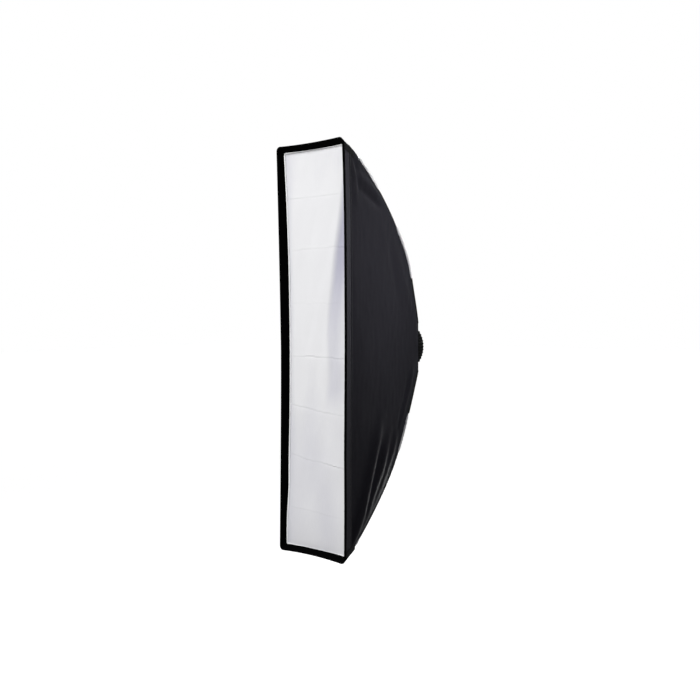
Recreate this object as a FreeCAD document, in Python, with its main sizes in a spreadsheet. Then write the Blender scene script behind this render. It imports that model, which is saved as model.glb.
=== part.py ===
"""Strip softbox, 30 by 140 cm, on a turning speed ring with four folding rods.

Frame: +Z up along the long side, the front faces -Y, and the origin is the centre of the
bayonet insert's bore on its seating face. Millimetres and degrees.
"""

import FreeCAD, Part
import math
import os

import Sketcher
from FreeCAD import Placement, Rotation, Vector

doc = FreeCAD.newDocument("strip_softbox")
sheet = doc.addObject("Spreadsheet::Sheet", "Sizes")

DRIVING = {
    # Fabric shell
    "front_width": 300,
    "front_height": 1400,
    "front_depth": 525,
    "neck_depth": 27,
    "neck_width": 177,
    "neck_half_height": 89,
    "profile_radius": 1100,
    "skin": 2,
    "lip_depth": 36,
    "zone": 900,
    # Front diffuser and its tapes
    "diffuser_recess": 28,
    "diffuser_skin": 1.2,
    "tape_skin": 1.2,
    "tape_width": 22,
    "hem_skin": 1.2,
    "hem_width": 20,
    # Inner baffle
    "baffle_depth": 295,
    "baffle_skin": 1,
    "baffle_side_gap": 20,
    "baffle_end_gap": 34,
    "strap_width": 14,
    "strap_skin": 1.2,
    "strap_pitch": 370,
    # Rods, sleeves and corner pockets
    "rod_diameter": 6,
    "rod_inset": 10,
    "rod_start_depth": 43,
    "rod_tip_back": 51,
    "sleeve_gap": 0.4,
    "sleeve_inner": 16.4,
    "sleeve_start_depth": 66,
    "sleeve_end_back": 68,
    "pocket_end_back": 30,
    "cap_diameter": 8.6,
    "cap_length": 22,
    "cap_lead": 8,
    "cap_gap": 0.35,
    # Neck
    "neck_hole_gap": 0.8,
    "collar_gap": 0.3,
    "collar_wall": 5,
    "collar_length": 9,
    "cover_skin": 1.5,
    "cover_reach": 245,
    "cover_start": 84,
    "cover_flange": 18,
    # Speed ring
    "ring_outer": 78,
    "ring_front_depth": 42,
    "ring_rear_depth": 3,
    "ring_front_bore": 72.2,
    "ring_ledge_depth": 20,
    "ring_bore": 66,
    "ring_shoulder_depth": 8,
    "ring_rear_bore": 60,
    "bracket_height": 20,
    "bracket_gap": 1,
    "bracket_inner": 40,
    "ear_thickness": 7,
    "ear_length": 17,
    # Bayonet insert
    "running_gap": 0.05,
    "end_gap": 0.1,
    "insert_bore": 45,
    "spigot_radius": 48.5,
    "spigot_length": 9,
    "lug_radius": 53,
    "lug_thickness": 4,
    "lug_angle": 48,
    "lug_count": 3,
    # Retaining ring and its screws
    "retainer_inner": 58,
    "retainer_gap": 0.2,
    "retainer_thickness": 3,
    "screw_count": 6,
    "screw_circle": 69.1,
    "screw_diameter": 3,
    "screw_length": 12,
    "screw_head_diameter": 5.4,
    "screw_head_height": 2.2,
    "screw_clearance": 0.1,
    # Rod holders and their pins
    "pivot_depth": 50,
    "pivot_height": 60,
    "pin_diameter": 6,
    "pin_head_diameter": 11,
    "pin_head_height": 1.3,
    "side_gap": 0.3,
    "eye_diameter": 16,
    "eye_width": 8,
    "web_thickness": 5,
    "web_height": 10,
    "socket_diameter": 12,
    "socket_lead": 20,
    "socket_hold": 14,
    # Lock screw
    "lock_depth": 10.5,
    "lock_diameter": 6,
    "lock_tip_gap": 0.2,
    "lock_engagement": 9,
    "knob_gap": 1.2,
    "knob_radius": 10,
    "knob_hub_radius": 6,
    "knob_hub_length": 4,
    "knob_length": 15,
    "knob_flutes": 8,
    "knob_flute_radius": 2.4,
    "knob_flute_lead": 0.8,
}

for row, (alias, number) in enumerate(DRIVING.items(), 1):
    sheet.set(f"A{row}", alias)
    sheet.set(f"B{row}", str(number))
    sheet.setAlias(f"B{row}", alias)
doc.recompute()


def size(alias):
    """The value of a cell of the sheet."""
    return float(sheet.get(alias))


def worth(expression):
    """The number that an expression on the sheet gives."""
    return float(sheet.evalExpression(expression))


# Shape of the shell, worked out from the driving sizes

SIDE_SLOPE = (size("front_width") - size("neck_width")) / 2 / (size("front_depth") - size("neck_depth"))
SLANT = math.hypot(1, SIDE_SLOPE)
ABOUT_X = Vector(1, 0, 0)
UP = Vector(0, 0, 1)
BACK = Vector(0, 1, 0)


def profile_centre():
    """Depth and height of the centre of the arc that the top seam follows."""
    front = Vector(0, -size("front_depth"), size("front_height") / 2)
    neck = Vector(0, -size("neck_depth"), size("neck_half_height"))
    chord = front - neck
    outward = ABOUT_X.cross(chord).normalize()
    if outward.y < 0:
        outward = outward * -1
    reach = math.sqrt(size("profile_radius") ** 2 - (chord.Length / 2) ** 2)
    return (front + neck) * 0.5 - outward * reach


CENTRE = profile_centre()


def side_x(depth, inset=0):
    """Half width of the shell at a depth behind the seating face."""
    return size("neck_width") / 2 + (depth - size("neck_depth")) * SIDE_SLOPE - inset * SLANT


def seam_z(depth, inset=0):
    """Half height of the shell at a depth behind the seating face."""
    radius = size("profile_radius") - inset
    return CENTRE.z + math.sqrt(radius**2 - (-depth - CENTRE.y) ** 2)


# Helpers that make objects of the document

FINISHED = []


def finish_piece(obj, label):
    """Names a finished sub-part and keeps it for export."""
    obj.Label = label
    FINISHED.append(obj)
    return obj


def primitive(kind, name, place=None, **sizes):
    """A Part primitive whose sizes are bound to the sheet."""
    obj = doc.addObject(f"Part::{kind}", name)
    for prop, expression in sizes.items():
        obj.setExpression(prop, expression)
    if place is not None:
        obj.Placement = place
    return obj


def joined(name, pieces):
    """One solid of several that overlap."""
    obj = doc.addObject("Part::MultiFuse", name)
    obj.Shapes = pieces
    obj.Refine = True
    return obj


def shared(name, pieces):
    """The space that all the pieces share."""
    obj = doc.addObject("Part::MultiCommon", name)
    obj.Shapes = pieces
    return obj


def cut_from(name, base, *tools):
    """The base with each tool taken away in turn."""
    for number, tool in enumerate(tools):
        obj = doc.addObject("Part::Cut", f"{name}_{number}")
        obj.Base = base
        obj.Tool = tool
        base = obj
    return base


def group(name, pieces):
    """Separate solids kept in one node."""
    obj = doc.addObject("Part::Compound", name)
    obj.Links = pieces
    return obj


def lying_along(direction, point):
    """A placement whose Z points along a direction, and whose X stays near the world's X."""
    turn = Rotation(ABOUT_X, Vector(0, 0, 0), direction, "ZXY")
    return Placement(point, turn)


def along_y(x, y, z):
    return Placement(Vector(x, y, z), Rotation(ABOUT_X, -90))


def along_x(x, y, z, sign=1):
    return Placement(Vector(x, y, z), Rotation(BACK, 90 * sign))


def turned_body(name, corners):
    """A PartDesign body turned about Y, from (radius, y) corners given as expressions."""
    body = doc.addObject("PartDesign::Body", name)
    planes = {feature.Role: feature for feature in body.Origin.OriginFeatures}
    sketch = body.newObject("Sketcher::SketchObject", f"{name}_profile")
    sketch.AttachmentSupport = [(planes["XY_Plane"], "")]
    sketch.MapMode = "FlatFace"
    points = [Vector(worth(radius), worth(y), 0) for radius, y in corners]
    for number, point in enumerate(points):
        following = points[(number + 1) % len(points)]
        sketch.addGeometry(Part.LineSegment(point, following), False)
    for number in range(len(points)):
        following = (number + 1) % len(points)
        sketch.addConstraint(Sketcher.Constraint("Coincident", number, 2, following, 1))
    for number, (expressions, point) in enumerate(zip(corners, points)):
        for way, axis, expression, value in (
            ("DistanceX", -2, expressions[0], point.x),
            ("DistanceY", -1, expressions[1], point.y),
        ):
            if abs(value) < 1e-9:
                sketch.addConstraint(Sketcher.Constraint("PointOnObject", number, 1, axis))
                continue
            index = sketch.addConstraint(Sketcher.Constraint(way, -1, 1, number, 1, value))
            sketch.setExpression(f"Constraints[{index}]", expression)
    turn = body.newObject("PartDesign::Revolution", f"{name}_turn")
    turn.Profile = sketch
    turn.ReferenceAxis = (sketch, ["V_Axis"])
    turn.Angle = 360
    body.Tip = turn
    return body


# Spaces that the fabric pieces are cut from


def taper(name, inset):
    """The space between the two side panels, taken in by an inset."""
    slant = (
        "sqrt(1 + pow((Sizes.front_width - Sizes.neck_width)"
        " / 2 / (Sizes.front_depth - Sizes.neck_depth); 2))"
    )
    front = f"(Sizes.front_width / 2 - ({inset}) * {slant})"
    neck = f"(Sizes.neck_width / 2 - ({inset}) * {slant})"
    return primitive(
        "Wedge",
        name,
        Xmin=f"-{front}",
        Xmax=front,
        Ymin="-Sizes.front_depth",
        Ymax="-Sizes.neck_depth",
        Zmin="-Sizes.zone",
        Zmax="Sizes.zone",
        X2min=f"-{neck}",
        X2max=neck,
        Z2min="-Sizes.zone",
        Z2max="Sizes.zone",
    )


def drum(name, inset, up):
    """The space under the curved end panel, taken in by an inset; up is 1 at the top end."""
    place = along_x(-size("zone") / 2, CENTRE.y, CENTRE.z * up)
    return primitive(
        "Cylinder", name, place, Radius=f"Sizes.profile_radius - ({inset})", Height="Sizes.zone"
    )


def slab(name, near, far, x_from=None, z_from=None):
    """A box between two depths, and optionally on one side of the middle planes."""
    zone = size("zone")
    corner = Vector(-zone if x_from != 1 else 0, 0, -zone if z_from != 1 else 0)
    width = "2 * Sizes.zone" if x_from is None else "Sizes.zone"
    height = "2 * Sizes.zone" if z_from is None else "Sizes.zone"
    box = primitive("Box", name, Placement(corner, Rotation()), Length=width, Height=height)
    box.setExpression("Width", f"({far}) - ({near})")
    box.setExpression("Placement.Base.y", f"-({far})")
    return box


INSETS = {
    "outside": "0",
    "skin": "Sizes.skin",
    "tape": "Sizes.skin + Sizes.tape_skin",
    "hem": "Sizes.skin + Sizes.tape_skin + Sizes.hem_skin",
    "sleeve": "Sizes.sleeve_inner",
    "cover": "-Sizes.cover_skin",
    "flange": "Sizes.cover_flange",
}
TAPER = {layer: taper(f"taper_{layer}", inset) for layer, inset in INSETS.items()}
DRUM = {
    (layer, up): drum(f"drum_{layer}_{'top' if up > 0 else 'bottom'}", inset, up)
    for layer, inset in INSETS.items()
    for up in (1, -1)
}
SIDES = {"right": 1, "left": -1}
ENDS = {"top": 1, "bottom": -1}
CORNERS = [(end, up, side, out) for end, up in ENDS.items() for side, out in SIDES.items()]


def between_seams(layer):
    return [DRUM[layer, 1], DRUM[layer, -1]]


def side_sheet(label, out, near, far, outer, inner):
    """A flat sheet of one side, between two layers and two depths."""
    space = shared(
        f"{label}_space",
        [TAPER[outer], *between_seams(outer), slab(f"{label}_slab", near, far, x_from=out)],
    )
    return finish_piece(cut_from(label, space, TAPER[inner]), label)


def end_sheet(label, up, near, far, outer, inner, between):
    """A curved sheet of one end, between two layers and two depths."""
    space = shared(
        f"{label}_space",
        [TAPER[between], DRUM[outer, up], slab(f"{label}_slab", near, far, z_from=up)],
    )
    return finish_piece(cut_from(label, space, DRUM[inner, up]), label)


# Fabric shell


def shell_panels():
    seam = "Sizes.front_depth - Sizes.lip_depth"
    for side, out in SIDES.items():
        side_sheet(f"side_panel_{side}", out, "Sizes.neck_depth", seam, "outside", "skin")
        side_sheet(f"front_lip_{side}", out, seam, "Sizes.front_depth", "outside", "skin")
    for end, up in ENDS.items():
        end_sheet(
            f"end_panel_{end}", up, "Sizes.neck_depth", seam, "outside", "skin", "skin"
        )
        end_sheet(
            f"front_lip_{end}", up, seam, "Sizes.front_depth", "outside", "skin", "skin"
        )


def neck_pieces():
    far = "Sizes.neck_depth + Sizes.skin"
    space = shared(
        "neck_panel_space",
        [TAPER["skin"], *between_seams("skin"), slab("neck_panel_slab", "Sizes.neck_depth", far)],
    )
    hole = primitive(
        "Cylinder",
        "neck_hole",
        along_y(0, -size("ring_front_depth"), 0),
        Radius="Sizes.ring_outer + Sizes.neck_hole_gap",
        Height="Sizes.ring_front_depth",
    )
    finish_piece(cut_from("neck_panel", space, hole), "neck_panel")
    inner = "Sizes.ring_outer + Sizes.collar_gap"
    outer = f"{inner} + Sizes.collar_wall"
    front = "-Sizes.neck_depth"
    rear = "-Sizes.neck_depth + Sizes.collar_length"
    collar = turned_body(
        "neck_collar", [(inner, front), (outer, front), (outer, rear), (inner, rear)]
    )
    finish_piece(collar, "neck_collar")


def neck_covers():
    """Flaps that cover the rods' ends of the corner seams, from the neck outwards."""
    for end, up in ENDS.items():
        band = primitive(
            "Box",
            f"neck_cover_{end}_band",
            Length="2 * Sizes.zone",
            Width="Sizes.front_depth - Sizes.neck_depth",
            Height="Sizes.cover_reach - Sizes.cover_start",
        )
        low = size("cover_start") if up > 0 else -size("cover_reach")
        band.Placement = Placement(Vector(-size("zone"), -size("front_depth"), low), Rotation())
        space = shared(
            f"neck_cover_{end}_space", [TAPER["cover"], DRUM["cover", up], band]
        )
        body = shared(f"neck_cover_{end}_body", [TAPER["outside"], DRUM["outside", up]])
        cover = cut_from(f"neck_cover_{end}", space, body, DRUM["flange", up])
        finish_piece(cover, f"neck_cover_{end}")


def front_pieces():
    face = "Sizes.front_depth - Sizes.diffuser_recess"
    tape_end = f"{face} - Sizes.tape_width"
    for side, out in SIDES.items():
        side_sheet(f"hook_tape_{side}", out, tape_end, face, "skin", "tape")
    for end, up in ENDS.items():
        end_sheet(f"hook_tape_{end}", up, tape_end, face, "skin", "tape", "tape")
    back = f"{face} - Sizes.diffuser_skin"
    sheet_space = [TAPER["tape"], *between_seams("tape")]
    diffuser = shared("front_diffuser", [*sheet_space, slab("diffuser_slab", back, face)])
    finish_piece(diffuser, "front_diffuser")
    outer = shared(
        "hem_outer",
        [*sheet_space, slab("hem_slab", f"{back} - Sizes.hem_width", back)],
    )
    inner = shared("hem_inner", [TAPER["hem"], *between_seams("hem")])
    finish_piece(cut_from("diffuser_hem", outer, inner), "diffuser_hem")


def baffle_pieces():
    """The inner sheet, and the straps that hold it to the seams."""
    depth = size("baffle_depth")
    half_width = side_x(depth, size("skin")) - size("baffle_side_gap")
    half_height = seam_z(depth, size("skin")) - size("baffle_end_gap")
    baffle = doc.addObject("Part::Box", "baffle")
    baffle.Length = 2 * half_width
    baffle.Height = 2 * half_height
    baffle.setExpression("Width", "Sizes.baffle_skin")
    baffle.Placement = Placement(Vector(-half_width, -depth, -half_height), Rotation())
    finish_piece(baffle, "inner_baffle")
    inside = shared("inside_space", [TAPER["skin"], *between_seams("skin")])
    straps = []
    for row in (-1, 0, 1):
        middle = row * size("strap_pitch") - size("strap_width") / 2
        place = Placement(Vector(-size("zone"), 0, middle), Rotation())
        straps.append(
            primitive(
                "Box", f"strap_row_{row + 1}", place, Length="2 * Sizes.zone", Height="Sizes.strap_width"
            )
        )
    place = Placement(Vector(-size("strap_width") / 2, 0, -size("zone")), Rotation())
    straps.append(
        primitive(
            "Box", "strap_column", place, Length="Sizes.strap_width", Height="2 * Sizes.zone"
        )
    )
    for strap in straps:
        strap.setExpression("Width", "Sizes.strap_skin")
        strap.setExpression("Placement.Base.y", "-Sizes.baffle_depth")
    strips = joined("strap_cross", straps)
    held = shared("strap_held", [strips, inside])
    window = doc.addObject("Part::Box", "strap_window")
    window.Length = 2 * half_width
    window.Height = 2 * half_height
    window.setExpression("Width", "2 * Sizes.strap_skin")
    window.Placement = Placement(
        Vector(-half_width, -depth - size("strap_skin") / 2, -half_height), Rotation()
    )
    finish_piece(cut_from("baffle_straps", held, window), "baffle_straps")


# Rods, their sleeves, pockets and caps


def rod_point(depth, out, up):
    inset = size("rod_inset")
    return Vector(side_x(depth, inset) * out, -depth, seam_z(depth, inset) * up)


def rod_arc(out, up):
    """The edge that a rod's middle follows, an arc from its holder to its tip."""
    start, tip = size("rod_start_depth"), size("front_depth") - size("rod_tip_back")
    depths = (start, start + (tip - start) * 0.3, tip)
    return Part.Arc(*(rod_point(depth, out, up) for depth in depths)).toShape()


def curved_bar(name, arc, diameter):
    """A round bar bent along an arc, its diameter given as an expression."""
    circle = arc.Curve
    start = arc.valueAt(arc.FirstParameter) - circle.Center
    place = Placement(circle.Center, Rotation(start, Vector(0, 0, 0), circle.Axis, "ZXY"))
    bar = primitive("Torus", name, place, Radius2=f"({diameter}) / 2")
    bar.Radius1 = circle.Radius
    bar.Angle3 = math.degrees(arc.LastParameter - arc.FirstParameter)
    return bar


def rods():
    """Each corner's rod, sleeve, pocket, cap and holder."""
    for end, up, side, out in CORNERS:
        where = f"{end}_{side}"
        arc = rod_arc(out, up)
        rod = curved_bar(f"rod_{where}", arc, "Sizes.rod_diameter")
        finish_piece(rod, f"rod_{where}")
        bore = curved_bar(
            f"sleeve_bore_{where}", arc, "Sizes.rod_diameter + 2 * Sizes.sleeve_gap"
        )
        near, far = "Sizes.sleeve_start_depth", "Sizes.front_depth - Sizes.sleeve_end_back"
        corner_strip(f"rod_sleeve_{where}", out, up, near, far, "skin", bore)
        rod_cap(where, out, up, arc, rod)
        rod_holder(where, out, up, arc, rod)


def corner_strip(label, out, up, near, far, outer, bore):
    """A strip inside a corner of the shell, with a bore along it."""
    halves = [
        slab(f"{label}_side", near, far, x_from=out),
        slab(f"{label}_end", near, far, z_from=up),
    ]
    space = shared(f"{label}_space", [TAPER[outer], DRUM[outer, up], *halves])
    strip = cut_from(label, space, TAPER["sleeve"], DRUM["sleeve", up], bore)
    finish_piece(strip, label)


def rod_cap(where, out, up, arc, rod):
    """The cap on a rod's tip, and the pocket of the shell that it sits in."""
    forward = arc.tangentAt(arc.LastParameter)
    seat = arc.valueAt(arc.LastParameter) - forward * (size("cap_length") - size("cap_lead"))
    barrel = primitive(
        "Cylinder",
        f"cap_barrel_{where}",
        lying_along(forward, seat),
        Radius="Sizes.cap_diameter / 2",
        Height="Sizes.cap_length",
    )
    finish_piece(cut_from(f"rod_cap_{where}", barrel, rod), f"rod_cap_{where}")
    room = primitive(
        "Cylinder",
        f"pocket_room_{where}",
        lying_along(forward, seat - forward * size("cap_length")),
        Radius="Sizes.cap_diameter / 2 + Sizes.cap_gap",
        Height="2 * Sizes.cap_length + Sizes.cap_gap",
    )
    near = "Sizes.front_depth - Sizes.sleeve_end_back"
    far = "Sizes.front_depth - Sizes.pocket_end_back"
    corner_strip(f"corner_pocket_{where}", out, up, near, far, "hem", room)


def rod_holder(where, out, up, arc, rod):
    """The hinged socket that holds a rod, and turns on a pin in the speed ring's ear."""
    start = arc.valueAt(arc.FirstParameter)
    middle = abs(start.x)
    pivot = Vector(middle * out, -size("pivot_depth"), size("pivot_height") * up)
    half_eye = size("eye_width") / 2
    eye = primitive(
        "Cylinder",
        f"eye_{where}",
        along_x(pivot.x - half_eye, pivot.y, pivot.z),
        Radius="Sizes.eye_diameter / 2",
        Height="Sizes.eye_width",
    )
    along = arc.tangentAt(arc.FirstParameter)
    mouth = start - along * size("socket_lead")
    socket = primitive(
        "Cylinder",
        f"socket_{where}",
        lying_along(along, mouth),
        Radius="Sizes.socket_diameter / 2",
        Height="Sizes.socket_lead + Sizes.socket_hold",
    )
    root = mouth + along * (size("socket_diameter") / 2)
    web_line = root - pivot
    web = primitive(
        "Box",
        f"web_{where}",
        Length="Sizes.web_thickness",
        Width="Sizes.web_height",
    )
    web.Height = web_line.Length
    place = lying_along(web_line.normalize(), pivot)
    offset = Vector(-size("web_thickness") / 2, -size("web_height") / 2, 0)
    web.Placement = place.multiply(Placement(offset, Rotation()))
    bore = primitive(
        "Cylinder",
        f"eye_bore_{where}",
        along_x(pivot.x - size("eye_width"), pivot.y, pivot.z),
        Radius="Sizes.pin_diameter / 2 + Sizes.running_gap",
        Height="2 * Sizes.eye_width",
    )
    arm = joined(f"arm_{where}", [eye, socket, web])
    finish_piece(cut_from(f"rod_holder_{where}", arm, bore, rod), f"rod_holder_{where}")


# Speed ring


def holder_middle():
    """The distance of the rod holders' middle plane from the middle of the box."""
    return abs(rod_point(size("rod_start_depth"), 1, 1).x)


def speed_ring():
    """The cast ring, with a bracket and an ear at each corner for a rod holder."""
    front, rear = "-Sizes.ring_front_depth", "-Sizes.ring_rear_depth"
    ledge, shoulder = "-Sizes.ring_ledge_depth", "-Sizes.ring_shoulder_depth"
    ring = turned_body(
        "ring_body",
        [
            ("Sizes.ring_front_bore", front),
            ("Sizes.ring_outer", front),
            ("Sizes.ring_outer", rear),
            ("Sizes.ring_rear_bore", rear),
            ("Sizes.ring_rear_bore", shoulder),
            ("Sizes.ring_bore", shoulder),
            ("Sizes.ring_bore", ledge),
            ("Sizes.ring_front_bore", ledge),
        ],
    )
    pieces = [ring]
    ear_outer = holder_middle() - size("eye_width") / 2 - size("side_gap")
    ear_inner = ear_outer - size("ear_thickness")
    height = size("bracket_height")
    for end, up, side, out in CORNERS:
        low = size("pivot_height") * up - height / 2
        bracket = primitive(
            "Box",
            f"bracket_{end}_{side}",
            Width="Sizes.ring_front_depth - Sizes.neck_depth - Sizes.skin - Sizes.bracket_gap",
            Height="Sizes.bracket_height",
        )
        bracket.Length = ear_outer - size("bracket_inner")
        left = size("bracket_inner") if out > 0 else -ear_outer
        bracket.Placement = Placement(Vector(left, -size("ring_front_depth"), low), Rotation())
        ear = primitive(
            "Box",
            f"ear_{end}_{side}",
            Length="Sizes.ear_thickness",
            Width="Sizes.ear_length",
            Height="Sizes.bracket_height",
        )
        left = ear_inner if out > 0 else -ear_outer
        nose = -size("ring_front_depth") - size("ear_length")
        ear.Placement = Placement(Vector(left, nose, low), Rotation())
        pieces += [bracket, ear]
    casting = joined("ring_casting", pieces)
    bore = primitive(
        "Cylinder",
        "ring_clearance",
        along_y(0, -2 * size("ring_front_depth"), 0),
        Radius="Sizes.ring_front_bore",
        Height="2 * Sizes.ring_front_depth - Sizes.ring_ledge_depth",
    )
    tools = [bore, lock_hole(), *pin_holes(), *screw_rods("ring", "0", "Sizes.screw_length")]
    finish_piece(cut_from("speed_ring", casting, *tools), "speed_ring")


def pin_line(out):
    """Where a hinge pin starts inside the ear, and ends outside the eye."""
    outer = holder_middle() + size("eye_width") / 2 + size("side_gap")
    inner = holder_middle() - size("eye_width") / 2 - size("side_gap") - size("ear_thickness")
    return inner * out, outer * out


def pin_holes():
    holes = []
    for end, up, side, out in CORNERS:
        inner, _ = pin_line(out)
        place = along_x(inner, -size("pivot_depth"), size("pivot_height") * up, out)
        holes.append(
            primitive(
                "Cylinder",
                f"pin_hole_{end}_{side}",
                place,
                Radius="Sizes.pin_diameter / 2",
                Height="Sizes.ear_thickness",
            )
        )
    return holes


def hinge_pins():
    pins = []
    for end, up, side, out in CORNERS:
        inner, outer = pin_line(out)
        depth, height = -size("pivot_depth"), size("pivot_height") * up
        shank = primitive(
            "Cylinder",
            f"pin_shank_{end}_{side}",
            along_x(inner, depth, height, out),
            Radius="Sizes.pin_diameter / 2",
            Height="Sizes.ear_thickness + Sizes.eye_width + 2 * Sizes.side_gap",
        )
        head = primitive(
            "Cylinder",
            f"pin_head_{end}_{side}",
            along_x(outer, depth, height, out),
            Radius="Sizes.pin_head_diameter / 2",
            Height="Sizes.pin_head_height",
        )
        pins.append(joined(f"pin_{end}_{side}", [shank, head]))
    finish_piece(group("hinge_pins", pins), "hinge_pins")


def screw_rods(name, extra, length):
    """A circle of round bars where the retaining screws go, each wider by extra."""
    rods_made = []
    count = int(size("screw_count"))
    face = -size("ring_ledge_depth") - size("retainer_thickness")
    for number in range(count):
        angle = math.radians(360 * (number + 0.5) / count)
        x, z = size("screw_circle") * math.cos(angle), size("screw_circle") * math.sin(angle)
        rods_made.append(
            primitive(
                "Cylinder",
                f"{name}_screw_bar_{number}",
                along_y(x, face, z),
                Radius=f"Sizes.screw_diameter / 2 + {extra}",
                Height=length,
            )
        )
    return rods_made


def retaining_ring():
    front = "-Sizes.ring_ledge_depth - Sizes.retainer_thickness"
    rear = "-Sizes.ring_ledge_depth"
    outer = "Sizes.ring_front_bore - Sizes.retainer_gap"
    plate = turned_body(
        "retainer_plate",
        [
            ("Sizes.retainer_inner", front),
            (outer, front),
            (outer, rear),
            ("Sizes.retainer_inner", rear),
        ],
    )
    bars = screw_rods("retainer", "Sizes.screw_clearance", "Sizes.retainer_thickness")
    finish_piece(cut_from("retaining_ring", plate, *bars), "retaining_ring")


def retaining_screws():
    shanks = screw_rods("shank", "0", "Sizes.screw_length")
    screws = []
    for number, shank in enumerate(shanks):
        base = shank.Placement.Base
        head = primitive(
            "Cylinder",
            f"screw_head_{number}",
            along_y(base.x, base.y - size("screw_head_height"), base.z),
            Radius="Sizes.screw_head_diameter / 2",
            Height="Sizes.screw_head_height",
        )
        screws.append(joined(f"screw_{number}", [shank, head]))
    finish_piece(group("retaining_screws", screws), "retaining_screws")


def bayonet_insert():
    """The ring that fits the light head: a rim that turns in the speed ring, and a spigot."""
    front = "-Sizes.ring_ledge_depth + Sizes.end_gap"
    rim_rear = "-Sizes.ring_shoulder_depth - Sizes.end_gap"
    rim = "Sizes.ring_bore - Sizes.running_gap"
    hub = "Sizes.ring_rear_bore - Sizes.running_gap"
    turned = turned_body(
        "insert_body",
        [
            ("Sizes.insert_bore", front),
            (rim, front),
            (rim, rim_rear),
            (hub, rim_rear),
            (hub, "0"),
            ("Sizes.spigot_radius", "0"),
            ("Sizes.spigot_radius", "Sizes.spigot_length"),
            ("Sizes.insert_bore", "Sizes.spigot_length"),
        ],
    )
    lugs = []
    count = int(size("lug_count"))
    for number in range(count):
        place = along_y(0, size("spigot_length") - size("lug_thickness"), 0)
        turn = Rotation(UP, 360 * number / count + 90 - size("lug_angle") / 2)
        lugs.append(
            primitive(
                "Cylinder",
                f"lug_{number}",
                place.multiply(Placement(Vector(), turn)),
                Radius="Sizes.lug_radius",
                Height="Sizes.lug_thickness",
                Angle="Sizes.lug_angle",
            )
        )
    bore = primitive(
        "Cylinder",
        "insert_bore_room",
        along_y(0, -size("ring_front_depth"), 0),
        Radius="Sizes.insert_bore",
        Height="2 * Sizes.ring_front_depth",
    )
    whole = joined("insert_whole", [turned, *lugs])
    finish_piece(cut_from("bayonet_insert", whole, bore), "bayonet_insert")


# Lock screw


def lock_start():
    """How far the stud's tip is from the middle: just clear of the insert's rim."""
    return size("ring_bore") - size("running_gap") + size("lock_tip_gap")


def knob_start():
    """How far the knob's near face is from the middle: just clear of the neck collar."""
    return size("ring_outer") + size("collar_gap") + size("collar_wall") + size("knob_gap")


def lock_bar(name):
    """The stud's own space, from the insert's rim into the knob."""
    bar = primitive(
        "Cylinder",
        name,
        along_x(-lock_start(), -size("lock_depth"), 0, -1),
        Radius="Sizes.lock_diameter / 2",
    )
    bar.Height = knob_start() + size("lock_engagement") - lock_start()
    return bar


def lock_hole():
    place = along_x(-size("ring_bore") / 2, -size("lock_depth"), 0, -1)
    return primitive(
        "Cylinder",
        "lock_hole",
        place,
        Radius="Sizes.lock_diameter / 2 + Sizes.running_gap",
        Height="Sizes.ring_outer",
    )


def lock_screw():
    """The stud that clamps the insert, and the fluted knob that drives it."""
    finish_piece(lock_bar("stud_bar"), "lock_stud")
    knob = primitive(
        "Cylinder",
        "knob_grip",
        along_x(-knob_start() - size("knob_hub_length"), -size("lock_depth"), 0, -1),
        Radius="Sizes.knob_radius",
        Height="Sizes.knob_length - Sizes.knob_hub_length",
    )
    hub = primitive(
        "Cylinder",
        "knob_hub",
        along_x(-knob_start(), -size("lock_depth"), 0, -1),
        Radius="Sizes.knob_hub_radius",
        Height="Sizes.knob_length",
    )
    blank = joined("knob_blank", [knob, hub])
    flutes = []
    count = int(size("knob_flutes"))
    for number in range(count):
        angle = 2 * math.pi * number / count
        reach = size("knob_radius") + size("knob_flute_lead")
        y, z = reach * math.cos(angle) - size("lock_depth"), reach * math.sin(angle)
        flutes.append(
            primitive(
                "Cylinder",
                f"flute_{number}",
                along_x(-knob_start(), y, z, -1),
                Radius="Sizes.knob_flute_radius",
                Height="Sizes.knob_length",
            )
        )
    seat = lock_bar("knob_seat")
    finish_piece(cut_from("lock_knob", blank, *flutes, seat), "lock_knob")


shell_panels()
neck_pieces()
neck_covers()
front_pieces()
baffle_pieces()
rods()
speed_ring()
hinge_pins()
retaining_ring()
retaining_screws()
bayonet_insert()
lock_screw()

doc.recompute()

# Every object has to be sound before anything is written

for obj in doc.Objects:
    if {"Invalid", "Error"} & set(obj.State):
        raise RuntimeError(f"{obj.Name} failed: {obj.State}")
for obj in FINISHED:
    if obj.Shape.isNull() or not obj.Shape.isValid() or obj.Shape.Volume <= 0:
        raise RuntimeError(f"{obj.Label} has no sound shape")

os.makedirs("parts", exist_ok=True)
for obj in FINISHED:
    obj.Shape.exportStep(f"parts/{obj.Label}.step")
    print(obj.Label, len(obj.Shape.Solids), round(obj.Shape.Volume), "mm3")
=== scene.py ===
"""Strip softbox: cloth shell, white front, neck and hardware finishes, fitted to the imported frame."""

import math

import bmesh
import bpy
import numpy as np
from bpy.props import FloatProperty, FloatVectorProperty, IntProperty, PointerProperty
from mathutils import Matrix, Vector, noise


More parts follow.
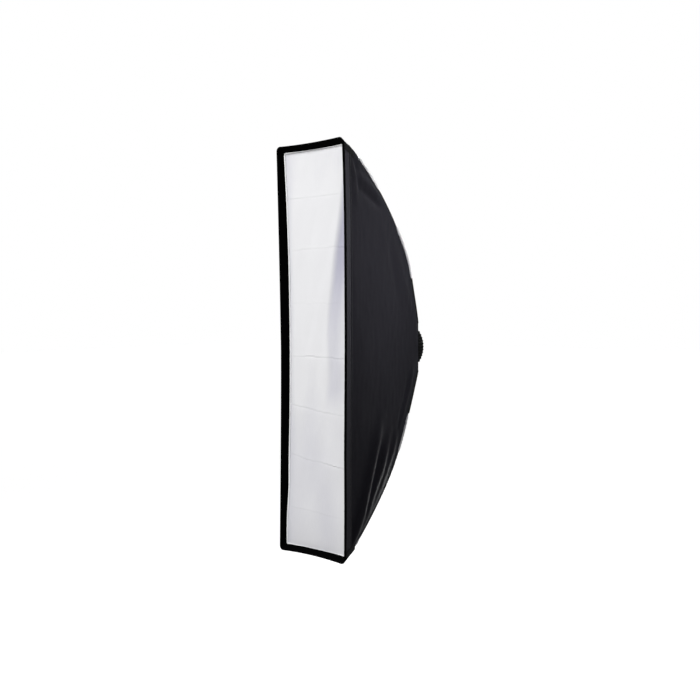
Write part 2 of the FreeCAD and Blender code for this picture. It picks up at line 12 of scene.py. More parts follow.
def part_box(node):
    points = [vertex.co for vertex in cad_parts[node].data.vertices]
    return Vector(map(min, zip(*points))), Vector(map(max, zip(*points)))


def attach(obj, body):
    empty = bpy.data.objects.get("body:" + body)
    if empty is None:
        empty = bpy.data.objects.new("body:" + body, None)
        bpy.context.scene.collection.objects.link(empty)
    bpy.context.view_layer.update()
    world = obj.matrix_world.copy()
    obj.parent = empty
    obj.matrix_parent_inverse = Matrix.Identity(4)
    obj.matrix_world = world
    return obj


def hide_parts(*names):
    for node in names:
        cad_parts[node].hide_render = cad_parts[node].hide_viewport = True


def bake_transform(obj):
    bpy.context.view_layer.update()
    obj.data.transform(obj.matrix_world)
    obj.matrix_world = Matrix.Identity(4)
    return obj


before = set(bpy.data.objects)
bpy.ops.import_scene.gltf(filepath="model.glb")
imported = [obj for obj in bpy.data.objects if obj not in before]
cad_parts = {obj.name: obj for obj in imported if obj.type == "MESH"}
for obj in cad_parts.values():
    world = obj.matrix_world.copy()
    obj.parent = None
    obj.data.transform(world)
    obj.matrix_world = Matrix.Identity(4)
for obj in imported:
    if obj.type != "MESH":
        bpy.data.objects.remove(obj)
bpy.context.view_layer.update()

bl_info = {
    "name": "Strip Softbox",
    "version": (1, 0, 0),
    "blender": (4, 5, 0),
    "location": "View3D > Sidebar > Softbox",
    "description": "Builds the cloth, seams and finishes of a strip softbox",
    "category": "Add Mesh",
}

# Places read from the frame, in metres

FRONT = -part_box("front_lip_right")[0].y
NECK = -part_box("side_panel_right")[1].y
LIP_SEAM = -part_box("side_panel_right")[0].y
FRONT_HALF_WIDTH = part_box("front_lip_right")[1].x
FRONT_HALF_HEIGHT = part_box("front_lip_right")[1].z
DIFFUSER_FACE = -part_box("front_diffuser")[0].y
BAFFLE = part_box("inner_baffle")
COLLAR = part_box("neck_collar")
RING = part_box("speed_ring")
COVER_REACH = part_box("neck_cover_top")[1].z
POCKET_BACK = -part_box("corner_pocket_top_right")[1].y

# Sizes of the shell that the boxes of the frame don't give

SKIN = 0.002
PROFILE_RADIUS = 1.1
NECK_HALF_HEIGHT = 0.089
NECK_HALF_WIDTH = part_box("neck_panel")[1].x + SKIN
CLOTH = 0.0009

SIDE_SLOPE = (FRONT_HALF_WIDTH - NECK_HALF_WIDTH) / (FRONT - NECK)
HALVES = {"upper": ("top", 1), "lower": ("bottom", -1)}
SIDES = (("right", 1), ("left", -1))
CORNERS = [(end, up, side, out) for end, up in HALVES.values() for side, out in SIDES]

# How far each half of the back bows past the plain arc, as (share of the seam, metres)

BOW = {
    1: (
        (0.0, 0.0),
        (0.15, 0.0115),
        (0.3, 0.0315),
        (0.4, 0.0305),
        (0.5, 0.0255),
        (0.7, 0.015),
        (0.85, 0.008),
        (1.0, 0.0),
    ),
    -1: (
        (0.0, 0.0),
        (0.1, -0.0055),
        (0.2, -0.0065),
        (0.3, -0.003),
        (0.5, 0.001),
        (0.7, -0.004),
        (0.85, -0.004),
        (1.0, 0.0),
    ),
}

# Photograph's view: 700 pixels wide, its lens 900 pixels long

PHOTO_SIDE = 700
PHOTO_LENS = 900
CAMERA_AT = Vector((2.0661, -2.7476, 0.1465))
CAMERA_LOOKS = Vector((-0.6468, 0.7612, -0.0469))
CAMERA_ROLL = -0.27


# Shape of the shell


def smooth(value):
    value = np.clip(value, 0, 1)
    return value * value * (3 - 2 * value)


def curve_through(points, at):
    """A smooth value through a few points, each pair joined by an eased step."""
    at = np.asarray(at, float)
    places = np.array([point[0] for point in points])
    values = np.array([point[1] for point in points])
    slopes = np.gradient(values, places)
    index = np.clip(np.searchsorted(places, at, side="right") - 1, 0, len(places) - 2)
    width = places[index + 1] - places[index]
    part = (at - places[index]) / width
    square, cube = part**2, part**3
    return (
        (2 * cube - 3 * square + 1) * values[index]
        + (cube - 2 * square + part) * width * slopes[index]
        + (3 * square - 2 * cube) * values[index + 1]
        + (cube - square) * width * slopes[index + 1]
    )


def arc_centre():
    front = np.array([FRONT_HALF_HEIGHT, -FRONT])
    neck = np.array([NECK_HALF_HEIGHT, -NECK])
    chord = front - neck
    length = np.linalg.norm(chord)
    outward = np.array([-chord[1], chord[0]]) / length
    return (front + neck) / 2 - outward * math.sqrt(PROFILE_RADIUS**2 - length**2 / 4)


CENTRE_Z, CENTRE_Y = arc_centre()
NECK_ANGLE = math.atan2(-NECK - CENTRE_Y, NECK_HALF_HEIGHT - CENTRE_Z)
FRONT_ANGLE = math.atan2(-FRONT - CENTRE_Y, FRONT_HALF_HEIGHT - CENTRE_Z)


def seam_angle(share):
    """Angle on the plain arc at a share of the seam's length from neck to front."""
    return NECK_ANGLE + (FRONT_ANGLE - NECK_ANGLE) * share


def share_of(angle):
    return (angle - NECK_ANGLE) / (FRONT_ANGLE - NECK_ANGLE)


def lifted(y, z, lift, slope, up):
    """Depth and height of points moved out of the shell by a lift."""
    return y + lift * np.sin(slope), z + lift * np.cos(slope) * up


def profile(share, up, inset=0.0):
    """Depth (y) and height (z) of the corner seam at a share of its length."""
    share = np.asarray(share, float)
    angle = seam_angle(share)
    radius = PROFILE_RADIUS - inset + curve_through(BOW[up], np.clip(share, 0, 1))
    return CENTRE_Y + radius * np.sin(angle), (CENTRE_Z + radius * np.cos(angle)) * up


def share_at(depth):
    """The share of the seam at a depth behind the seating face."""
    return share_of(math.asin((-depth - CENTRE_Y) / PROFILE_RADIUS))


def share_at_height(height):
    return share_of(math.acos((height - CENTRE_Z) / PROFILE_RADIUS))


def half_width(y, inset=0.0):
    return NECK_HALF_WIDTH + (-y - NECK) * SIDE_SLOPE - inset


LIP_SHARE = share_at(LIP_SEAM)


# Mesh helpers


def new_object(name, points, faces, uvs=None):
    """A mesh object from points and faces, with a UV map in metres if one is given."""
    mesh = bpy.data.meshes.new(name)
    mesh.from_pydata([tuple(map(float, point)) for point in points], [], faces)
    if uvs is not None:
        layer = mesh.uv_layers.new(name="cloth")
        corner = np.empty(len(mesh.loops), np.int32)
        mesh.loops.foreach_get("vertex_index", corner)
        layer.data.foreach_set("uv", np.asarray(uvs, np.float32)[corner].ravel())
    mesh.shade_smooth()
    mesh.validate()
    mesh.update()
    made = bpy.data.objects.new(name, mesh)
    bpy.context.scene.collection.objects.link(made)
    return made


def grid_faces(rows, columns, closed=False, flip=False):
    """Quads of a grid of points kept row by row; closed joins the last column to the first."""
    faces = []
    for row in range(rows - 1):
        for column in range(columns if closed else columns - 1):
            following = (column + 1) % columns
            face = (
                row * columns + column,
                row * columns + following,
                (row + 1) * columns + following,
                (row + 1) * columns + column,
            )
            faces.append(face[::-1] if flip else face)
    return faces


def measured_uv(grid):
    """UV of a grid in metres, along its rows and columns."""
    down = np.linalg.norm(np.diff(grid, axis=0), axis=2).mean(axis=1)
    across = np.linalg.norm(np.diff(grid, axis=1), axis=2).mean(axis=0)
    down = np.concatenate([[0], np.cumsum(down)])
    across = np.concatenate([[0], np.cumsum(across)])
    u, v = np.meshgrid(across, down)
    return np.stack([u, v], 2).reshape(-1, 2)


def sheet_object(name, grid, outward, *finishes, thickness=CLOTH, closed=False):
    """Cloth of some thickness from a grid of points, its outer face towards outward."""
    rows, columns = grid.shape[:2]
    middle = grid[rows // 2, columns // 2]
    normal = np.cross(
        grid[rows // 2, min(columns // 2 + 1, columns - 1)] - middle,
        grid[min(rows // 2 + 1, rows - 1), columns // 2] - middle,
    )
    faces = grid_faces(rows, columns, closed, flip=float(np.dot(normal, outward)) < 0)
    made = new_object(name, grid.reshape(-1, 3), faces, measured_uv(grid))
    for finish_name in finishes:
        made.data.materials.append(material(finish_name))
    thicken = made.modifiers.new("thickness", "SOLIDIFY")
    thicken.thickness = thickness
    thicken.offset = -1
    if len(finishes) > 1:
        thicken.material_offset = 1
    return settled(made)


def settled(made):
    """The object with its modifiers turned into its mesh."""
    depsgraph = bpy.context.evaluated_depsgraph_get()
    mesh = bpy.data.meshes.new_from_object(made.evaluated_get(depsgraph), depsgraph=depsgraph)
    made.modifiers.clear()
    made.data = mesh
    mesh.set_sharp_from_angle(angle=math.radians(45))
    return made


LEAST_FILL = 0.3


def declare_cloth(grid):
    """Works out a piece's cut size and cloth area; nothing uses them."""
    down, across = np.diff(grid, axis=0), np.diff(grid, axis=1)
    tall = np.linalg.norm(down, axis=2).sum(axis=0).max()
    wide = np.linalg.norm(across, axis=2).sum(axis=1).max()
    corner = np.cross(down[:, :-1], across[:-1])
    area = float(np.linalg.norm(corner, axis=2).sum())
    area = min(max(area, LEAST_FILL * tall * wide), tall * wide)


def follow_fold(made):
    """Bakes the piece's transform into its mesh."""
    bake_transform(made)


def placed(made, replaced=()):
    """Hides the CAD pieces that some cloth stands for, and bakes the cloth's transform."""
    if replaced:
        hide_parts(*replaced)
    follow_fold(made)


# Shader node groups

COORDINATE = ("Coordinate", "NodeSocketVector", (0, 0, 0))


def new_group(name, inputs, outputs):
    tree = bpy.data.node_groups.new(name, "ShaderNodeTree")
    for label, kind, default in inputs:
        socket = tree.interface.new_socket(name=label, in_out="INPUT", socket_type=kind)
        socket.default_value = default
    for label, kind in outputs:
        tree.interface.new_socket(name=label, in_out="OUTPUT", socket_type=kind)
    return tree, tree.nodes.new("NodeGroupInput"), tree.nodes.new("NodeGroupOutput")


def math_node(tree, operation, *values, clamp=False):
    """The result of one sum on sockets and numbers."""
    node = tree.nodes.new("ShaderNodeMath")
    node.operation = operation
    node.use_clamp = clamp
    for value, socket in zip(values, node.inputs):
        if isinstance(value, (int, float)):
            socket.default_value = value
        else:
            tree.links.new(value, socket)
    return node.outputs[0]


def noise_node(tree, place, detail, scale=None):
    """A noise texture read at a place, with its scale where that is fixed."""
    node = tree.nodes.new("ShaderNodeTexNoise")
    node.inputs["Detail"].default_value = detail
    if scale is not None:
        node.inputs["Scale"].default_value = scale
    tree.links.new(place, node.inputs["Vector"])
    return node


def weave_group():
    """Plain weave of crossing threads with slubs, as a height and a shade."""
    tree, inner, outer = new_group(
        "Cloth Weave",
        (COORDINATE, ("Threads", "NodeSocketFloat", 1200.0), ("Slub", "NodeSocketFloat", 0.3)),
        (("Height", "NodeSocketFloat"), ("Shade", "NodeSocketFloat")),
    )
    split = tree.nodes.new("ShaderNodeSeparateXYZ")
    tree.links.new(inner.outputs["Coordinate"], split.inputs[0])
    waves = []
    for axis in ("X", "Y"):
        turned = math_node(tree, "MULTIPLY", split.outputs[axis], inner.outputs["Threads"])
        turned = math_node(tree, "MULTIPLY", turned, 2 * math.pi)
        waves.append(math_node(tree, "SINE", turned))
    crossing = math_node(tree, "MULTIPLY", waves[0], waves[1])
    stretch = tree.nodes.new("ShaderNodeMapping")
    stretch.inputs["Scale"].default_value = (1, 0.12, 1)
    tree.links.new(inner.outputs["Coordinate"], stretch.inputs["Vector"])
    slub = noise_node(tree, stretch.outputs[0], detail=3, scale=260)
    uneven = math_node(tree, "MULTIPLY", slub.outputs["Fac"], inner.outputs["Slub"])
    height = math_node(tree, "MULTIPLY_ADD", crossing, 0.5, 0.5)
    total = math_node(tree, "ADD", height, uneven)
    tree.links.new(total, outer.inputs["Height"])
    tree.links.new(slub.outputs["Fac"], outer.inputs["Shade"])
    return tree


def crumple_group():
    """Small soft creases and a slow change of shade over a cloth."""
    tree, inner, outer = new_group(
        "Cloth Crumple",
        (COORDINATE, ("Size", "NodeSocketFloat", 22.0), ("Stretch", "NodeSocketVector", (1, 1, 1))),
        (("Height", "NodeSocketFloat"), ("Shade", "NodeSocketFloat")),
    )
    mapping = tree.nodes.new("ShaderNodeMapping")
    tree.links.new(inner.outputs["Coordinate"], mapping.inputs["Vector"])
    tree.links.new(inner.outputs["Stretch"], mapping.inputs["Scale"])
    crease = noise_node(tree, mapping.outputs[0], detail=3)
    crease.noise_type = "RIDGED_MULTIFRACTAL"
    crease.inputs["Roughness"].default_value = 0.45
    tree.links.new(inner.outputs["Size"], crease.inputs["Scale"])
    slow = noise_node(tree, inner.outputs["Coordinate"], detail=2, scale=4)
    tree.links.new(crease.outputs["Fac"], outer.inputs["Height"])
    tree.links.new(slow.outputs["Fac"], outer.inputs["Shade"])
    return tree


def wear_group():
    """Fine scratches and dust on hard parts, as a mask and a height."""
    tree, inner, outer = new_group(
        "Handling Wear",
        (COORDINATE, ("Grain", "NodeSocketFloat", 900.0), ("Amount", "NodeSocketFloat", 0.5)),
        (("Mask", "NodeSocketFloat"), ("Height", "NodeSocketFloat")),
    )
    grain = noise_node(tree, inner.outputs["Coordinate"], detail=2)
    tree.links.new(inner.outputs["Grain"], grain.inputs["Scale"])
    scuff = noise_node(tree, inner.outputs["Coordinate"], detail=6, scale=38)
    raised = math_node(tree, "SUBTRACT", scuff.outputs["Fac"], 0.52)
    raised = math_node(tree, "MULTIPLY", raised, 6, clamp=True)
    masked = math_node(tree, "MULTIPLY", raised, inner.outputs["Amount"])
    tree.links.new(masked, outer.inputs["Mask"])
    tree.links.new(grain.outputs["Fac"], outer.inputs["Height"])
    return tree


GROUP_MAKERS = {"Cloth Weave": weave_group, "Cloth Crumple": crumple_group, "Handling Wear": wear_group}


def placed_group(tree, name):
    group = bpy.data.node_groups.get(name) or GROUP_MAKERS[name]()
    node = tree.nodes.new("ShaderNodeGroup")
    node.node_tree = group
    return node


# Materials


def blank_material(name):
    material = bpy.data.materials.new(name)
    material.use_nodes = True
    tree = material.node_tree
    shader = tree.nodes["Principled BSDF"]
    return material, tree, shader


def mixed_colour(tree, factor, first, second):
    mix = tree.nodes.new("ShaderNodeMix")
    mix.data_type = "RGBA"
    mix.inputs[6].default_value = (*first, 1)
    mix.inputs[7].default_value = (*second, 1)
    tree.links.new(factor, mix.inputs[0])
    return mix.outputs[2]


def bumped(tree, shader, layers):
    """Chains bumps, each (height socket, distance, strength), into the shader's normal."""
    normal = None
    for height, distance, strength in layers:
        bump = tree.nodes.new("ShaderNodeBump")
        bump.inputs["Distance"].default_value = distance
        bump.inputs["Strength"].default_value = strength
        tree.links.new(height, bump.inputs["Height"])
        if normal is not None:
            tree.links.new(normal, bump.inputs["Normal"])
        normal = bump.outputs["Normal"]
    tree.links.new(normal, shader.inputs["Normal"])


THREAD_HEIGHT = 0.00012


def cloth_material(
    name,
    dark,
    light,
    roughness,
    threads=900,
    sheen=0.0,
    crumple=0.0006,
    size=22,
    stretch=(1, 1, 1),
    slub=0.3,
    mask=None,
    shine=0.5,
):
    """Woven cloth that reads its piece's own UV map, in metres, and a mask of painted shade that darkens
    its colour.
    """
    material, tree, shader = blank_material(name)
    uv = tree.nodes.new("ShaderNodeUVMap")
    uv.uv_map = "cloth"
    weave = placed_group(tree, "Cloth Weave")
    weave.inputs["Threads"].default_value = threads
    weave.inputs["Slub"].default_value = slub
    creases = placed_group(tree, "Cloth Crumple")
    creases.inputs["Size"].default_value = size
    creases.inputs["Stretch"].default_value = stretch
    for node in (weave, creases):
        tree.links.new(uv.outputs[0], node.inputs["Coordinate"])
    shade = math_node(tree, "ADD", weave.outputs["Shade"], creases.outputs["Shade"])
    shade = math_node(tree, "MULTIPLY", shade, 0.5)
    if mask:
        held = tree.nodes.new("ShaderNodeAttribute")
        held.attribute_name = mask
        # painted shade: where the mask is 1 the colour goes to the darker tone
        unshaded_share = math_node(tree, "SUBTRACT", 1.0, held.outputs["Fac"])
        shade = math_node(tree, "MULTIPLY_ADD", shade, 0.3, -0.1)
        shade = math_node(tree, "ADD", shade, unshaded_share, clamp=True)
    tree.links.new(mixed_colour(tree, shade, dark, light), shader.inputs["Base Color"])
    rough = math_node(tree, "MULTIPLY_ADD", weave.outputs["Shade"], 0.16, roughness - 0.08)
    tree.links.new(rough, shader.inputs["Roughness"])
    shader.inputs["Sheen Weight"].default_value = sheen
    shader.inputs["Sheen Roughness"].default_value = 0.45
    shader.inputs["Specular IOR Level"].default_value = shine
    layers = [(creases.outputs["Height"], crumple, 0.7), (weave.outputs["Height"], THREAD_HEIGHT, 0.5)]
    bumped(tree, shader, layers)
    return material


def hard_material(name, base, worn, roughness, metallic=0.0, grain=900, height=0.00006, wear=0.4):
    """Metal or moulded plastic with a fine grain and light scuffs."""
    material, tree, shader = blank_material(name)
    where = tree.nodes.new("ShaderNodeTexCoord")
    marks = placed_group(tree, "Handling Wear")
    marks.inputs["Grain"].default_value = grain
    marks.inputs["Amount"].default_value = wear
    tree.links.new(where.outputs["Object"], marks.inputs["Coordinate"])
    tree.links.new(mixed_colour(tree, marks.outputs["Mask"], base, worn), shader.inputs["Base Color"])
    rough = math_node(tree, "MULTIPLY_ADD", marks.outputs["Mask"], 0.2, roughness)
    tree.links.new(rough, shader.inputs["Roughness"])
    shader.inputs["Metallic"].default_value = metallic
    bumped(tree, shader, [(marks.outputs["Height"], height, 0.6)])
    return material


def grey(level):
    return (level, level, level * 1.04)


MATERIALS = {}


def material(name):
    """A finish by name, made when it is first asked for."""
    if name not in MATERIALS:
        MATERIALS[name] = FINISHES[name](name)
    return MATERIALS[name]


def woven(*tones, **settings):
    return lambda name: cloth_material(name, *tones, **settings)


def hard(*tones, **settings):
    return lambda name: hard_material(name, *tones, **settings)


def shell_nylon(name):
    """The shell's outer cloth, in the tones that the user sets."""
    colours = finish()
    return cloth_material(
        name,
        colours.nylon_dark,
        colours.nylon_light,
        0.44,
        threads=1400,
        crumple=0.0009,
        size=16,
        stretch=(1.6, 0.5, 1),
        shine=0.01,
    )


def front_cloth(name):
    """The white front's cloth, in the tones that the user sets, with painted shade laid on by its mask."""
    colours = finish()
    return cloth_material(
        name,
        colours.white_shade,
        colours.white_light,
        0.85,
        threads=1300,
        crumple=0.0012,
        size=9,
        stretch=(1, 0.45, 1),
        slub=0.15,
        # the mask lays painted shade on the front
        mask="slack_and_painted_shade",
        shine=0.2,
    )


# Each finish has its darker and its lighter tone, its roughness and what sets it apart

LIP_DARK, LIP_LIGHT = (0.026, 0.0255, 0.031), (0.04, 0.039, 0.047)
BAFFLE_DARK, BAFFLE_LIGHT = (0.74, 0.74, 0.76), (0.82, 0.82, 0.83)
HEM_DARK, HEM_LIGHT = (0.93, 0.93, 0.93), (0.98, 0.98, 0.98)

FINISHES = {
    "black nylon": shell_nylon,
    "diffusion cloth": front_cloth,
    "black lip cloth": woven(LIP_DARK, LIP_LIGHT, 0.62, threads=1100, size=30, shine=0.02),
    "silver lining": woven(grey(0.55), grey(0.72), 0.3, threads=1400, crumple=0.0008, size=26),
    "grey satin": woven(
        grey(0.3), grey(0.45), 0.34, threads=1500, sheen=0.1, crumple=0.0008, size=45, shine=0.3
    ),
    "black binding": woven(
        grey(0.0008), grey(0.0016), 0.8, threads=700, crumple=0.0002, size=90, shine=0.005
    ),
    "cover cloth": woven(grey(0.0045), grey(0.009), 0.6, crumple=0.0007, size=30, shine=0.03),
    "black elastic": woven(
        grey(0.004), grey(0.01), 0.75, threads=500, crumple=0.0004, size=120, shine=0.03
    ),
    "baffle cloth": woven(BAFFLE_DARK, BAFFLE_LIGHT, 0.85, threads=1300, crumple=0.001),
    "white hem": woven(HEM_DARK, HEM_LIGHT, 0.8, crumple=0.0002, size=60, shine=0.2),
    "grey thread": hard(grey(0.035), grey(0.07), 0.6, grain=2400, wear=0.2),
    "white thread": hard(grey(0.8), grey(0.9), 0.6, grain=2400, wear=0.2),
    "cast ring": hard(grey(0.022), grey(0.045), 0.45, grain=700, height=0.0001),
    "insert metal": hard(grey(0.5), grey(0.62), 0.28, metallic=1.0, grain=1600, wear=0.3),
    "plated steel": hard(grey(0.45), grey(0.55), 0.32, metallic=1.0, grain=1300),
    "rod steel": hard(grey(0.26), grey(0.36), 0.36, metallic=1.0, grain=1800),
    "painted holder": hard(grey(0.03), grey(0.09), 0.42),
    "moulded black": hard(grey(0.014), grey(0.03), 0.5, grain=1100, height=0.00012),
    "rubber cap": hard(grey(0.012), grey(0.028), 0.75, grain=1500, height=0.0001),
}


# Settings that a user would change


def length(name, text, default, low, high):
    return FloatProperty(name=name, description=text, default=default, min=low, max=high, unit="LENGTH")


def colour(name, text, default):
    return FloatVectorProperty(
        name=name, description=text, subtype="COLOR", default=default, min=0, max=1
    )


def power(name, text, default):
    return FloatProperty(name=name, description=text, default=default, min=0, unit="POWER")


class ShellSettings(bpy.types.PropertyGroup):
    """Cloth shell"""

    rows: IntProperty(
        name="Rows", description="Rows of the side panels, from neck to lip", default=110, min=20, max=300
    )
    columns: IntProperty(
        name="Columns", description="Columns of each half side panel", default=130, min=20, max=300
    )
    fold_strength: FloatProperty(
        name="Folds",
        description="Strength of the folds in the side panels",
        default=1.0,
        min=0,
        max=2,
        subtype="FACTOR",
    )
    stitch_pitch: length("Stitch pitch", "Distance from stitch to stitch", 0.0042, 0.002, 0.02)
    corner_radius: length("Corner radius", "Rounding of the lip's corners", 0.015, 0.002, 0.04)
    lip_bow: length("Lip bow", "How far the left lip is drawn in at mid height", 0.0135, 0, 0.03)
    end_bow: length("End bow", "How far the end lips are drawn in at their middle", 0.0035, 0, 0.02)


class FrontSettings(bpy.types.PropertyGroup):
    """White front"""

    hem: length("Hem", "Width of the hem that shows round the front", 0.0062, 0.002, 0.02)
    belly: length("Belly", "How far the cloth stands forward between its edges", 0.004, 0, 0.02)
    crease: length("Crease", "Height of the pressed fold lines", 0.0022, 0, 0.006)


class FinishSettings(bpy.types.PropertyGroup):
    """Colours"""

    nylon_dark: colour("Nylon dark", "Darker tone of the shell", (0.0082, 0.008, 0.0103))
    nylon_light: colour("Nylon light", "Lighter tone of the shell", (0.0172, 0.0167, 0.0212))
    # the darker, bluish tone of the front is painted shade, mixed in by its mask
    white_shade: colour("White shade", "Darker tone of the front", (0.44, 0.435, 0.525))
    white_light: colour("White light", "Lighter tone of the front", (0.765, 0.765, 0.78))


class StageSettings(bpy.types.PropertyGroup):
    """Floor, lamps and camera"""

    floor: FloatProperty(name="Floor", description="Height of the floor", default=-1.5, unit="LENGTH")
    key: power("Key", "Power of the large lamp in front", 54)
    world: FloatProperty(
        name="World", description="Light of the world on the object", default=0.05, min=0
    )
    side: power("Side", "Power of the lamp beside the object", 2.7)
    graze: power("Graze", "Power of the lamp that skims the lower folds", 0.23)
    rear: power("Rear", "Power of the lamp behind the left side", 60)
    back: power("Back", "Power of the lamp behind the object", 5)


def shell_settings():
    return bpy.context.scene.softbox_shell


def front_settings():
    return bpy.context.scene.softbox_front


def finish():
    return bpy.context.scene.softbox_finish


def stage_settings():
    return bpy.context.scene.softbox_stage


# Side panels

# Folds of the right panel as (height in metres, half width in metres, points of depth and height)

RIGHT_FOLDS = (
    (0.0045, 0.017, ((0.46, 0.592), (0.37, 0.562), (0.285, 0.53))),
    (-0.0065, 0.013, ((0.44, 0.548), (0.37, 0.522), (0.285, 0.487))),
    (0.0035, 0.014, ((0.478, 0.64), (0.46, 0.56), (0.452, 0.47))),
    (-0.0025, 0.012, ((0.47, 0.66), (0.44, 0.58), (0.425, 0.50))),
    (0.013, 0.024, ((0.492, -0.672), (0.438, -0.573), (0.374, -0.43), (0.334, -0.331), (0.286, -0.231))),
    (0.010, 0.019, ((0.443, -0.625), (0.372, -0.515), (0.30, -0.423), (0.231, -0.29))),
    (-0.005, 0.012, ((0.46, -0.65), (0.388, -0.52), (0.328, -0.41), (0.27, -0.30))),
    (0.006, 0.015, ((0.40, -0.585), (0.30, -0.48), (0.22, -0.37), (0.17, -0.27))),
    (-0.003, 0.012, ((0.19, -0.31), (0.12, -0.17), (0.09, -0.08))),
    (0.003, 0.013, ((0.16, -0.27), (0.09, -0.14), (0.06, -0.05))),
    (0.002, 0.02, ((0.20, 0.38), (0.12, 0.22), (0.07, 0.10))),
    (-0.002, 0.02, ((0.25, 0.42), (0.20, 0.27), (0.16, 0.12))),
)

LEFT_FOLDS = (
    (-0.004, 0.016, ((0.45, 0.60), (0.35, 0.53), (0.26, 0.47))),
    (0.005, 0.016, ((0.46, 0.56), (0.38, 0.44), (0.31, 0.30))),
    (0.004, 0.014, ((0.478, -0.64), (0.40, -0.50), (0.33, -0.36))),
    (-0.004, 0.014, ((0.45, -0.58), (0.36, -0.45), (0.28, -0.30))),
    (0.005, 0.014, ((0.40, -0.56), (0.29, -0.45), (0.20, -0.31))),
    (0.003, 0.018, ((0.18, 0.30), (0.11, 0.17), (0.06, 0.06))),
)


def ridge(depth, height, line, width):
    """How strongly each point of a panel lies on a folded line, which fades at its ends."""
    points = np.array(line)
    nearest = np.full(depth.shape, np.inf)
    along = np.zeros(depth.shape)
    lengths = np.linalg.norm(np.diff(points, axis=0), axis=1)
    total, travelled = lengths.sum(), 0.0
    for start, finish_point, length in zip(points[:-1], points[1:], lengths):
        way = (finish_point - start) / length
        part = (depth - start[0]) * way[0] + (height - start[1]) * way[1]
        part = np.clip(part, 0, length)
        gap = np.hypot(depth - start[0] - part * way[0], height - start[1] - part * way[1])
        closer = gap < nearest
        nearest = np.where(closer, gap, nearest)
        along = np.where(closer, (travelled + part) / total, along)
        travelled += length
    fade = smooth(along / 0.25) * smooth((1 - along) / 0.25) * 0.85 + 0.15
    return np.exp(-((nearest / width) ** 2)) * fade


def soft_waves(first, second, scale, seed):
    """Slow uneven swells, the same at every run."""
    places = zip(first.ravel(), second.ravel())
    flat = [noise.noise(Vector((a * scale, b * scale, seed))) for a, b in places]
    return np.array(flat).reshape(first.shape)


def panel_relief(depth, height, reach, out):
    """How far a side panel stands out of its plane, none at its edges."""
    folds = RIGHT_FOLDS if out > 0 else LEFT_FOLDS
    relief = sum(size * ridge(depth, height, line, width) for size, width, line in folds)
    relief = relief + 0.0022 * soft_waves(depth, height * 0.5, 9, 3.1 * out)
    relief = relief + 0.0007 * soft_waves(depth * 2.2, height * 0.6, 30, 7.7 * out)
    edge = smooth((1 - reach) / 0.05) * smooth((LIP_SEAM - depth) / 0.02) * smooth((depth - NECK) / 0.03)
    return relief * edge * shell_settings().fold_strength


SEAM_INSET = 0.005

# How far the right side swells out near the front, as (height, metres)

RIGHT_SWELL = (
    (-0.7, 0.0),
    (-0.62, 0.001),
    (-0.5, 0.0025),
    (-0.35, 0.0025),
    (-0.2, 0.0045),
    (0.0, 0.0072),
    (0.25, 0.0077),
    (0.5, 0.0062),
    (0.62, 0.0028),
    (0.7, 0.0),
)

# Heights between which the satin sleeves show past the side panels

SATIN_SHOWS = {1: ((0.546, 0.655), (0.244, 0.446)), -1: ((0.24, 0.385), (0.63, 0.66))}
SATIN_DIP = 0.0045


def seam_ease(share):
    """The seam's inset grows from none at the neck and the front to all of it between."""
    return smooth(share / 0.1) * smooth((1 - share) / 0.06)


def seam_dip(share, up):
    """How far the side panel's edge drops below the seam, where the satin shows."""
    height = np.abs(profile(share, up)[1])
    shows = sum(
        smooth((height - low) / 0.02) * smooth((high - height) / 0.02) for low, high in SATIN_SHOWS[up]
    )
    return SATIN_DIP * shows - 0.0015 * (1 - shows) * seam_ease(share)


def lip_draw(depth, height, out):
    """How far a side is drawn in near the front: in on the left at mid height, and out on the right."""
    height = np.asarray(height, float)
    if out < 0:
        most = shell_settings().lip_bow * (1 - np.abs(height / FRONT_HALF_HEIGHT) ** 1.35)
    else:
        most = -curve_through(RIGHT_SWELL, np.clip(height, -FRONT_HALF_HEIGHT, FRONT_HALF_HEIGHT))
    return most * smooth((np.asarray(depth) - 0.16) / 0.3)


def side_surface(up, out, share, reach):
    """Points of a side panel at shares of its seam and at reaches from mid height (0) to the seam (1)."""
    y, z = profile(share, up, inset=SEAM_INSET * seam_ease(share) + seam_dip(share, up))
    depth = np.repeat(-y[:, None], reach.shape[1], 1)
    height = z[:, None] * reach
    x = half_width(-depth) - lip_draw(depth, height, out)
    x = x + panel_relief(depth, height, reach, out)
    return np.stack([x * out, -depth, height], 2)


def side_panel(half, side, out):
    end, up = HALVES[half]
    settings = shell_settings()
    share = np.linspace(0, LIP_SHARE, settings.rows)
    reach = 1 - (1 - np.linspace(0, 1, settings.columns)) ** 1.25
    grid = side_surface(up, out, share, np.repeat(reach[None, :], settings.rows, 0))
    made = sheet_object(f"side_cloth_{side}_{half}", grid, (out, 0, 0), "black nylon", "silver lining")
    placed(made, [f"side_panel_{side}"])
    declare_cloth(grid)


class SOFTBOX_OT_side_panels(bpy.types.Operator):
    """Add the four half side panels with their folds"""

    bl_idname = "softbox.side_panels"
    bl_label = "Side Panels"

    def execute(self, context):
        for half in HALVES:
            for side, out in SIDES:
                side_panel(half, side, out)
        return {"FINISHED"}


# End panels, with the rod sleeves along their edges

SLEEVE_HALF = 0.007
SLEEVE_RISE = 0.0105
END_SAG = 0.006


